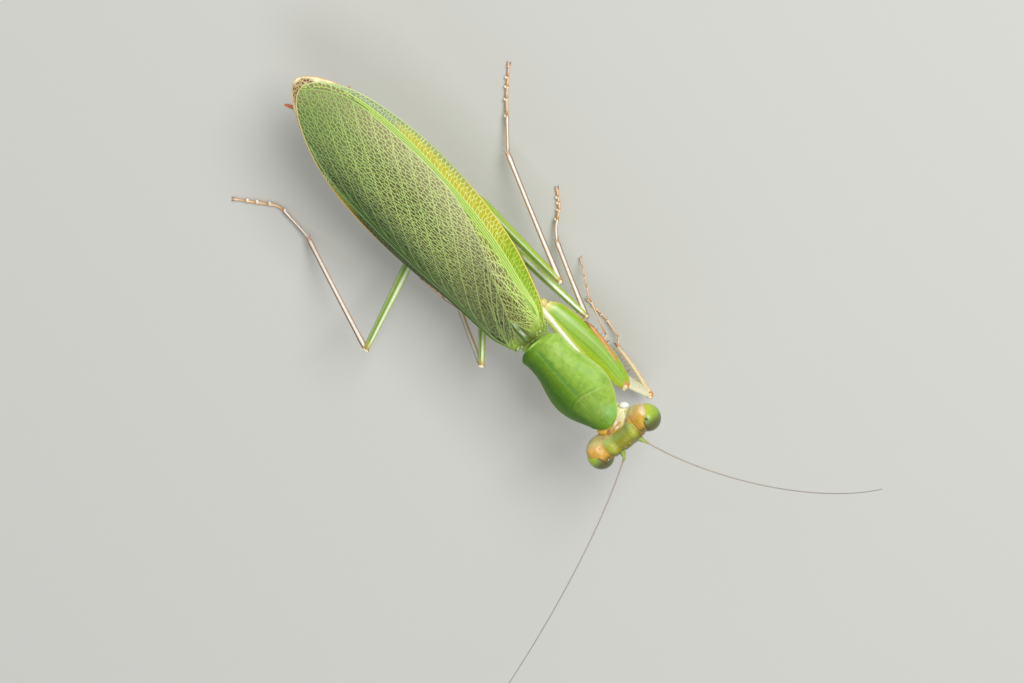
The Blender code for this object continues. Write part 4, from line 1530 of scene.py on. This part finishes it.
COXA = ((0, 0.34), (0.3, 0.35), (0.8, 0.28), (1, 0.20))
SHIN = ((0, 0.125), (0.06, 0.145), (0.2, 0.130), (0.85, 0.118), (0.96, 0.14), (1, 0.11))
BLADE = Vector((0, 0.906, -0.423))
HAIR = (srgb(206, 206, 170), srgb(236, 236, 214))
SHIN_HAIR = (srgb(206, 150, 90), srgb(226, 204, 160))
FOOT_HAIR = (srgb(226, 176, 116), srgb(240, 222, 190))
HAIR_LEAN = 0.7
THORN = (srgb(214, 160, 90), srgb(70, 38, 22))


def limb(skin, path, keys, tint, flat=UP, sides=24, deep_keys=None, ribs=0.0):
    """A length of leg. keys give its half width along it, and deep_keys its half depth."""
    deep_keys = deep_keys or keys

    def rib(t):
        return 1 + ribs * math.cos(6 * t)

    skin.tube(
        path,
        lambda s, t: curve(keys, s) * rib(t),
        lambda s, t: curve(deep_keys, s) * rib(t),
        tint,
        flat,
        sides,
    )


def stripe(turn, at, width):
    """How far a turn round a limb lies in a stripe."""
    off = (turn - at + math.pi) % (2 * math.pi) - math.pi
    return bell(off, 0, width)


def walking_tint(s, t, band):
    """Mid and hind femora: light green, with a white band along the upper side."""
    white = max(stripe(t, 0.45, band), 0.5 * stripe(t, -0.75, 0.14))
    return layered(
        srgb(166, 198, 66),
        ((112, 150, 36), 0.5 + 0.5 * math.cos(t + 1.6)),
        ((244, 246, 228), 0.97 * white * ramp(0.02, 0.12, s)),
        ((86, 122, 30), 0.65 * stripe(t, 0.45 - band - 0.2, 0.15)),
        ((190, 184, 84), 0.6 * ramp(0.90, 0.96, s)),
        ((176, 132, 48), 0.8 * ramp(0.965, 0.99, s)),
    )


def shin_tint(s, t, way):
    """Tibiae: a silvery upper side, with a dark line along its outer edge and an orange one inside."""
    return layered(
        srgb(204, 142, 52),
        ((224, 194, 122), 0.5 - 0.5 * math.cos(t + 0.5)),
        ((246, 250, 250), 0.98 * stripe(t, -0.5 + 0.06 * way, 0.70)),
        ((44, 30, 24), 0.95 * stripe(t, -0.5 - 0.80 * way, 0.30)),
        ((196, 128, 46), 0.85 * stripe(t, -0.5 + 0.95 * way, 0.26)),
        ((204, 132, 54), 0.7 * max(ramp(0.04, 0.0, s), ramp(0.96, 1.0, s))),
    )


def hairs(skin, path, radius, count, length, tints=HAIR, thick=0.007):
    """Fine hairs along a limb, leaning towards its lower end."""
    along = (path[-1] - path[0]).normalized()
    side = along.cross(UP).normalized()
    up = side.cross(along)
    for _ in range(count):
        s = CHANCE.uniform(0.03, 0.97)
        turn = CHANCE.uniform(0, 2 * math.pi)
        across = side * math.cos(turn) + up * math.sin(turn)
        spot = path[round(s * (len(path) - 1))] + across * radius * 0.92
        way = (across + along * HAIR_LEAN).normalized()
        skin.cone(spot, spot + way * length * CHANCE.uniform(0.6, 1.2), thick, tints, 3)


FOOT_SHARES = (0.0, 0.42, 0.60, 0.74, 0.85, 1.0)
FOOT_STEPS = 120
ROUNDING = (-0.06, -0.03, 0, 0.03, 0.06)


def foot_line(points):
    """A line through the points with its corners rounded."""
    lengths = [(b - a).length for a, b in zip(points, points[1:])]

    def at(share):
        want = share * sum(lengths)
        for a, b, length in zip(points, points[1:], lengths):
            if want <= length:
                return a.lerp(b, want / length)
            want -= length
        return points[-1].copy()

    def rounded(s):
        near = [at(min(max(s + shift, 0), 1)) for shift in ROUNDING]
        return sum(near, Vector()) / len(near)

    return [rounded(s) for s in spread(0, 1, FOOT_STEPS + 1)]


def joint_end(skin, path, radius, inward):
    """The white lobe and the two short spurs at the end of a foot joint."""
    along = (path[-1] - path[-3]).normalized()
    inner = (inward - inward.dot(along) * along).normalized()
    knob = path[-1] + inner * radius * 0.75 + Vector((0, 0, radius * 0.25)) - along * radius * 0.35
    skin.ball(knob, (radius * 0.78, radius * 0.68, radius * 0.68), srgb(250, 246, 236), rings=8, sides=12)
    tip = path[-1] - along * radius * 0.3
    for way in (1, -1):
        out = along.cross(UP).normalized() * way
        root, end = tip + out * radius * 0.6, tip + out * radius * 1.5 + along * 0.05
        skin.cone(root, end, radius * 0.24, (srgb(226, 196, 150), srgb(244, 236, 214)), 5)


def claws(skin, line, radius):
    """The pair of claws at the end of a foot and the pad between them."""
    tip = line[-1]
    ahead = (tip - line[-6]).normalized()
    across = ahead.cross(UP).normalized()
    for way in (1, -1):
        root = tip + across * way * radius * 0.4
        end = tip + ahead * 0.20 + across * way * 0.10 + Vector((0, 0, -0.06))
        end.z = max(end.z, 0.012)
        skin.cone(root, end, radius * 0.42, (srgb(206, 140, 70), DARK), 7, Vector((0, 0, 0.07)), 5)
    pad = (radius * 0.6, radius * 0.6, radius * 0.5)
    skin.ball(tip + ahead * 0.05, pad, srgb(232, 214, 180), rings=6, sides=10)


def make_foot(skin, points, radius, silver=True):
    """Five flared joints along the points, the first of them silvery above, and the claws."""
    line = foot_line(points)
    side = math.copysign(1, points[-1].y)
    for i in range(5):
        low, high = FOOT_SHARES[i], FOOT_SHARES[i + 1]
        path = [line[round(FOOT_STEPS * (low + (high - low) * s))] for s in spread(0, 1, 13)]
        slim = 0.56 if i == 4 else 0.70
        keys = ((0, slim * 0.80), (0.15, slim), (0.7, slim + 0.04), (0.92, 1.0), (1.0, 0.86))
        tint = (lambda s, t: shin_tint(s, t, side)) if silver and i == 0 else foot_tint
        limb(skin, path, tuple((s, radius * size) for s, size in keys), tint, sides=18)
        if i < 4:
            joint_end(skin, path, radius, Vector((0, -side, 0)))
    claws(skin, line, radius)
    return line


def foot_tint(s, t):
    """Orange foot joints, pale above and at the end, with a dark root."""
    return layered(
        srgb(206, 140, 54),
        ((226, 186, 116), 0.5 - 0.5 * math.cos(t + 0.45)),
        ((250, 240, 226), 0.75 * stripe(t, -0.45, 0.60) * ramp(0.0, 0.5, s)),
        ((96, 56, 28), 0.85 * ramp(0.10, 0.0, s)),
        ((250, 236, 214), 0.5 * ramp(0.85, 0.98, s)),
    )


def knee_tint(way):
    """Olive-yellow knees with a painted highlight on top and a dark line under it."""
    return layered(
        srgb(184, 134, 50),
        # a painted highlight on top of the knee
        ((240, 236, 206), ramp(0.50, 0.85, way.z)),
        ((84, 54, 28), 0.8 * bell(way.z, 0.38, 0.12)),
    )


def upper_walking_leg(name, finish, root, hip, knee):
    """The coxa, the long femur and the knee."""
    skin = Skin()
    band = 0.11 if name == "hind_left" else 0.30
    limb(
        skin,
        run(root + Vector((0, 0, 0.15)), hip, 30),
        COXA,
        lambda s, t: mix(srgb(186, 204, 120), srgb(146, 180, 72), 0.5 + 0.5 * math.cos(t)),
        flat=Vector((1, 0, 0.3)),
    )
    skin.ball(hip, (0.25, 0.24, 0.25), srgb(176, 194, 106))
    belly = 0.235 if name.startswith("mid") else 0.255
    shares = ((0.08, 0.92), (0.3, 1), (0.8, 0.74), (0.94, 0.70))
    femur = ((0, 0.15), *((s, belly * share) for s, share in shares), (1, 0.14))
    path = run(hip.lerp(knee, 0.05), knee, 60, Vector((0, 0, 0.06)))
    limb(skin, path, femur, lambda s, t: walking_tint(s, t, band), ribs=0.035, sides=36)
    thigh = (knee - hip).normalized()
    side = thigh.cross(UP).normalized()
    skin.ball(knee, (0.145, 0.145, 0.145), knee_tint)
    for s in (1, -1):
        skin.ball(knee + side * s * 0.09 + thigh * 0.02, (0.10, 0.06, 0.11), knee_tint, rings=12, sides=14)
    hairs(skin, path, belly * 0.85, 150, 0.12)
    piece(skin, f"leg_upper_{name}", finish, [f"coxa_{name}", f"femur_{name}"], plan=True)


def lower_walking_leg(name, finish, knee, ankle):
    """The tibia with two spurs at its lower end."""
    skin = Skin()
    way = WAY[name.split("_")[1]]
    down = (ankle - knee).normalized()
    path = run(knee + down * 0.04, ankle, 60, UP * 0.05)
    limb(skin, path, SHIN, lambda s, t: shin_tint(s, t, way), ribs=0.03, sides=40)
    hairs(skin, path, 0.11, 200, 0.11, SHIN_HAIR)
    across = down.cross(UP).normalized()
    for s in (1, -1):
        spur = ankle - down * 0.03 + across * s * 0.08
        skin.cone(spur, spur + down * 0.24 + across * s * 0.10 - UP * 0.04, 0.03, THORN, 6)
    piece(skin, f"leg_lower_{name}", finish, [f"tibia_{name}"], plan=True)


def make_walking_leg(name, finish):
    root, hip, knee, ankle, heel, bend, toe = (Vector(p) for p in LEGS[name])
    upper_walking_leg(name, finish, root, hip, knee)
    lower_walking_leg(name, finish, knee, ankle)
    skin = Skin()
    line = make_foot(skin, [ankle, heel, bend, toe], 0.105)
    hairs(skin, line, 0.07, 90, 0.08, FOOT_HAIR, 0.006)
    piece(skin, f"foot_{name}", finish, [f"tarsus_{name}"], plan=True)


def fore_femur_tint(s, t):
    """The fore femur: bright green with darker lines along it, yellow towards the upper edge."""
    lines = max(bell(math.cos(t), at, 0.05) for at in (0.52, 0.18, -0.22))
    return layered(
        srgb(144, 186, 22),
        ((178, 202, 50), ramp(0.1, -0.9, math.cos(t))),
        ((112, 158, 16), 0.75 * lines * ramp(0.04, 0.15, s) * ramp(0.96, 0.86, s)),
        ((214, 214, 104), 0.7 * ramp(-0.80, -1.0, math.cos(t))),
        ((206, 186, 84), 0.6 * ramp(0.86, 1.0, math.cos(t))),
        ((240, 220, 150), 0.8 * ramp(0.10, 0.0, s)),
        ((196, 176, 70), 0.5 * ramp(0.93, 0.97, s)),
        ((206, 138, 52), ramp(0.975, 1.0, s)),
    )


def fore_shin_tint(s, t):
    """The fore tibia: orange, greenish on its upper side near the knee and darker at the claw."""
    return layered(
        srgb(226, 176, 110),
        ((196, 136, 62), 0.5 + 0.5 * math.cos(t)),
        ((170, 176, 70), 0.5 * ramp(0.0, -1.0, math.cos(t)) * ramp(0.8, 0.2, s)),
        ((120, 76, 38), 0.5 * ramp(0.92, 1.0, s)),
    )


def coxa_tint(s, t):
    """The fore coxa: yellow-green and cream, with a thin silvery line beside the femur."""
    return layered(
        srgb(196, 212, 96),
        ((178, 200, 60), 0.5 + 0.5 * math.cos(t)),
        ((236, 226, 160), 0.85 * ramp(0.70, 0.90, s)),
        ((252, 252, 246), 0.98 * stripe(t, math.pi / 2 + 0.05, 0.32) * ramp(0.0, 0.08, s)),
    )


def fore_coxa(skin, root, hip, inward, flat):
    """The coxa with a row of small teeth, and the joint at its end."""
    limb(skin, run(root, hip + inward, 60), FORE_COXA_WIDE, coxa_tint, flat, 48, FORE_COXA_DEEP)
    edge = flat.normalized()
    for s in spread(0.12, 0.88, 9):
        spot = root.lerp(hip, s) - edge * 0.31 * (1 - 0.25 * s)
        skin.cone(spot, spot - edge * 0.07 + (hip - root).normalized() * 0.06, 0.022, (CREAM, WHITE), 5)
    skin.ball(
        hip,
        (0.24, 0.22, 0.26),
        lambda way: mix(srgb(206, 204, 120), srgb(236, 214, 140), ramp(0.0, 0.8, way.z)),
    )


def femur_thorns(skin, rim, thigh, deep, wide):
    """Two rows of thorns along the lower edge of the fore femur, and three stout ones near its root."""
    for face, count, size in ((1, 5, 0.30), (-1, 15, 0.17)):
        for n, s in enumerate(spread(0.30, 0.90, count)):
            long = size * (1.35 if face < 0 and n % 2 else 1)
            spot = rim(s) + wide * face * 0.08
            way = (deep + thigh * 0.25 + wide * face * 0.35).normalized()
            skin.cone(spot, spot + way * long, 0.032, THORN, 7, thigh * 0.02, 3)
    for n, s in enumerate((0.22, 0.27, 0.33)):
        spot = rim(s)
        way = (deep + thigh * 0.3).normalized()
        skin.cone(spot, spot + way * (0.24 + 0.06 * n), 0.04, THORN, 7, thigh * 0.02, 3)


def shin_thorns(skin, knee, ankle, deep, wide):
    """The claw at the end of the fore tibia and the rows of thorns along both its edges."""
    down = (ankle - knee).normalized()
    claw = ankle + down * 0.34 - deep * 0.14
    skin.cone(ankle - down * 0.05, claw, 0.08, (srgb(196, 130, 70), DARK), 10, deep * 0.08, 8)
    for face in (1, -1):
        for s in spread(0.12, 0.93, 12):
            spot = knee.lerp(ankle, s) + deep * 0.10 * face + wide * face * 0.08
            way = (down * 0.9 + deep * (0.5 if face > 0 else -0.6) + wide * face * 0.25).normalized()
            skin.cone(spot, spot + way * (0.09 + 0.10 * s), 0.022, THORN, 6)


def make_fore_leg(name, finish):
    """A grasping leg: coxa, broad thorny femur, thorny tibia with its claw, and thin foot."""
    root, hip, knee, ankle, heel, bend, toe = (Vector(p) for p in LEGS[name])
    pale = name == "fore_right"
    flat = Vector((0, 0.2, -1)) if pale else BLADE
    thigh = (knee - hip).normalized()
    deep = (flat - flat.dot(thigh) * thigh).normalized()
    wide = thigh.cross(deep)
    blade = tuple((s, 0.82 * half) for s, half in FORE_BLADE) if pale else FORE_BLADE

    def femur_tint(s, t):
        toned = fore_femur_tint(s, t)
        return mix(toned, srgb(226, 220, 194), 0.88) if pale else toned

    def tibia_tint(s, t):
        toned = fore_shin_tint(s, t)
        return mix(toned, srgb(222, 212, 178), 0.7) if pale else toned

    def rim(s):
        return path[round(89 * s)] + deep * curve(blade, s) * 0.92

    skin = Skin()
    fore_coxa(skin, root, hip, Vector() if pale else Vector((0, -0.24, 0.05)), flat)
    straight = run(hip.lerp(knee, 0.03), knee, 90)
    path = [point + deep * 0.21 * math.sin(math.pi * (i / 89) ** 1.6) for i, point in enumerate(straight)]
    limb(skin, path, FORE_FEMUR, femur_tint, flat, 60, blade, ribs=0.012)
    for spot, radii in (
        (knee - thigh * 0.06, (0.19, 0.20, 0.19)),
        (knee - thigh * 0.02 - deep * 0.12, (0.13, 0.15, 0.13)),
    ):
        skin.ball(
            # orange knee knobs, their tops a painted highlight
            spot, radii, lambda way: mix(srgb(214, 146, 58), srgb(246, 238, 200), ramp(0.55, 0.95, way.z))
        )
    femur_thorns(skin, rim, thigh, deep, wide)
    hairs(skin, path, 0.3, 60, 0.09)
    piece(skin, f"leg_upper_{name}", finish, [f"coxa_{name}", f"femur_{name}"], plan=True)

    skin = Skin()
    shin_path = run(knee, ankle, 70, deep * 0.18)
    limb(skin, shin_path, FORE_SHIN_WIDE, tibia_tint, flat, 24, FORE_SHIN_DEEP)
    shin_thorns(skin, knee, ankle, deep, wide)
    hairs(skin, shin_path, 0.14, 70, 0.10)
    piece(skin, f"leg_lower_{name}", finish, [f"tibia_{name}"], plan=True)

    skin = Skin()
    make_foot(skin, [heel, bend, toe], 0.062, silver=False)
    stalk = run(ankle if pale else ankle.lerp(knee, 0.30), heel, 10)
    limb(skin, stalk, ((0, 0.055), (1, 0.055)), foot_tint, sides=12)
    piece(skin, f"foot_{name}", finish, [f"tarsus_{name}"], plan=True)


def make_legs():
    finish = cuticle(
        "leg_skin", rough=(0.30, 0.46), mottle=0.10, grain=10, depth=0.007, coat=0.30, flesh=0.02
    )
    for name in LEGS:
        if name.startswith("fore"):
            make_fore_leg(name, finish)
        else:
            make_walking_leg(name, finish)


make_shield()
make_scutellum()
make_trunk()
make_neck()
make_head()
make_eyes()
make_feelers()
make_legs()


FLOOR_REACH = 1.5
FLOOR_GREY = (0.62, 0.62, 0.60, 1)


def make_stage():
    """A pale matt floor under the feet."""
    low, high = -FLOOR_REACH, FLOOR_REACH
    mesh = bpy.data.meshes.new("floor")
    mesh.from_pydata([(low, low, 0), (high, low, 0), (high, high, 0), (low, high, 0)], [], [(0, 1, 2, 3)])
    material = bpy.data.materials.new("floor")
    material.use_nodes = True
    tree = material.node_tree
    set_inputs(tree, tree.nodes["Principled BSDF"], {"Base Color": FLOOR_GREY, "Roughness": 0.9})
    mesh.materials.append(material)
    add_object("floor", mesh)


def area_light(name, spot, size, watts, colour=(1, 1, 1)):
    """A square light at spot that points at the middle of the floor."""
    data = bpy.data.lights.new(name, "AREA")
    data.energy = watts
    data.size = size
    data.color = colour
    light = add_object(name, data)
    light.location = spot
    light.rotation_euler = (-Vector(spot)).to_track_quat("-Z", "Y").to_euler()


def make_lights():
    area_light("key", (-0.04, 0.24, 0.26), 0.16, 0.98, (1, 0.99, 0.96))
    area_light("fill", (0.10, -0.26, 0.20), 0.26, 0.10)
    area_light("top", (0.12, 0.02, 0.34), 0.20, 0.25)
    world = bpy.data.worlds.new("studio")
    bpy.context.scene.world = world
    world.use_nodes = True
    sky = {"Color": (0.98, 1.0, 0.98, 1), "Strength": 0.31}
    set_inputs(world.node_tree, world.node_tree.nodes["Background"], sky)


CAMERA_AIM = Vector((-0.77, -1.30, 5.0))
CAMERA_AWAY = 0.24


def make_camera():
    """The camera looks down on the back from a little behind and to the left, rolled with the insect's
    head to the lower right."""
    behind, roll = math.radians(10), math.radians(25)
    ahead = Vector((math.cos(behind), math.sin(behind) * math.sin(roll), math.sin(behind) * math.cos(roll)))
    left = Vector((0, math.cos(roll), -math.sin(roll)))
    back = ahead.cross(left)
    right = 0.686 * ahead + 0.728 * left
    axes = Matrix((right, back.cross(right), back)).transposed().to_4x4()
    data = bpy.data.cameras.new("camera")
    data.lens = 172
    data.sensor_width = 36
    data.clip_start = 0.01
    data.clip_end = 10
    camera = add_object("camera", data)
    camera.matrix_world = Matrix.Translation((CAMERA_AIM + SHIFT) * MM + back * CAMERA_AWAY) @ axes
    bpy.context.scene.camera = camera


make_stage()
make_lights()
make_camera()
bpy.context.scene.view_settings.view_transform = "Standard"
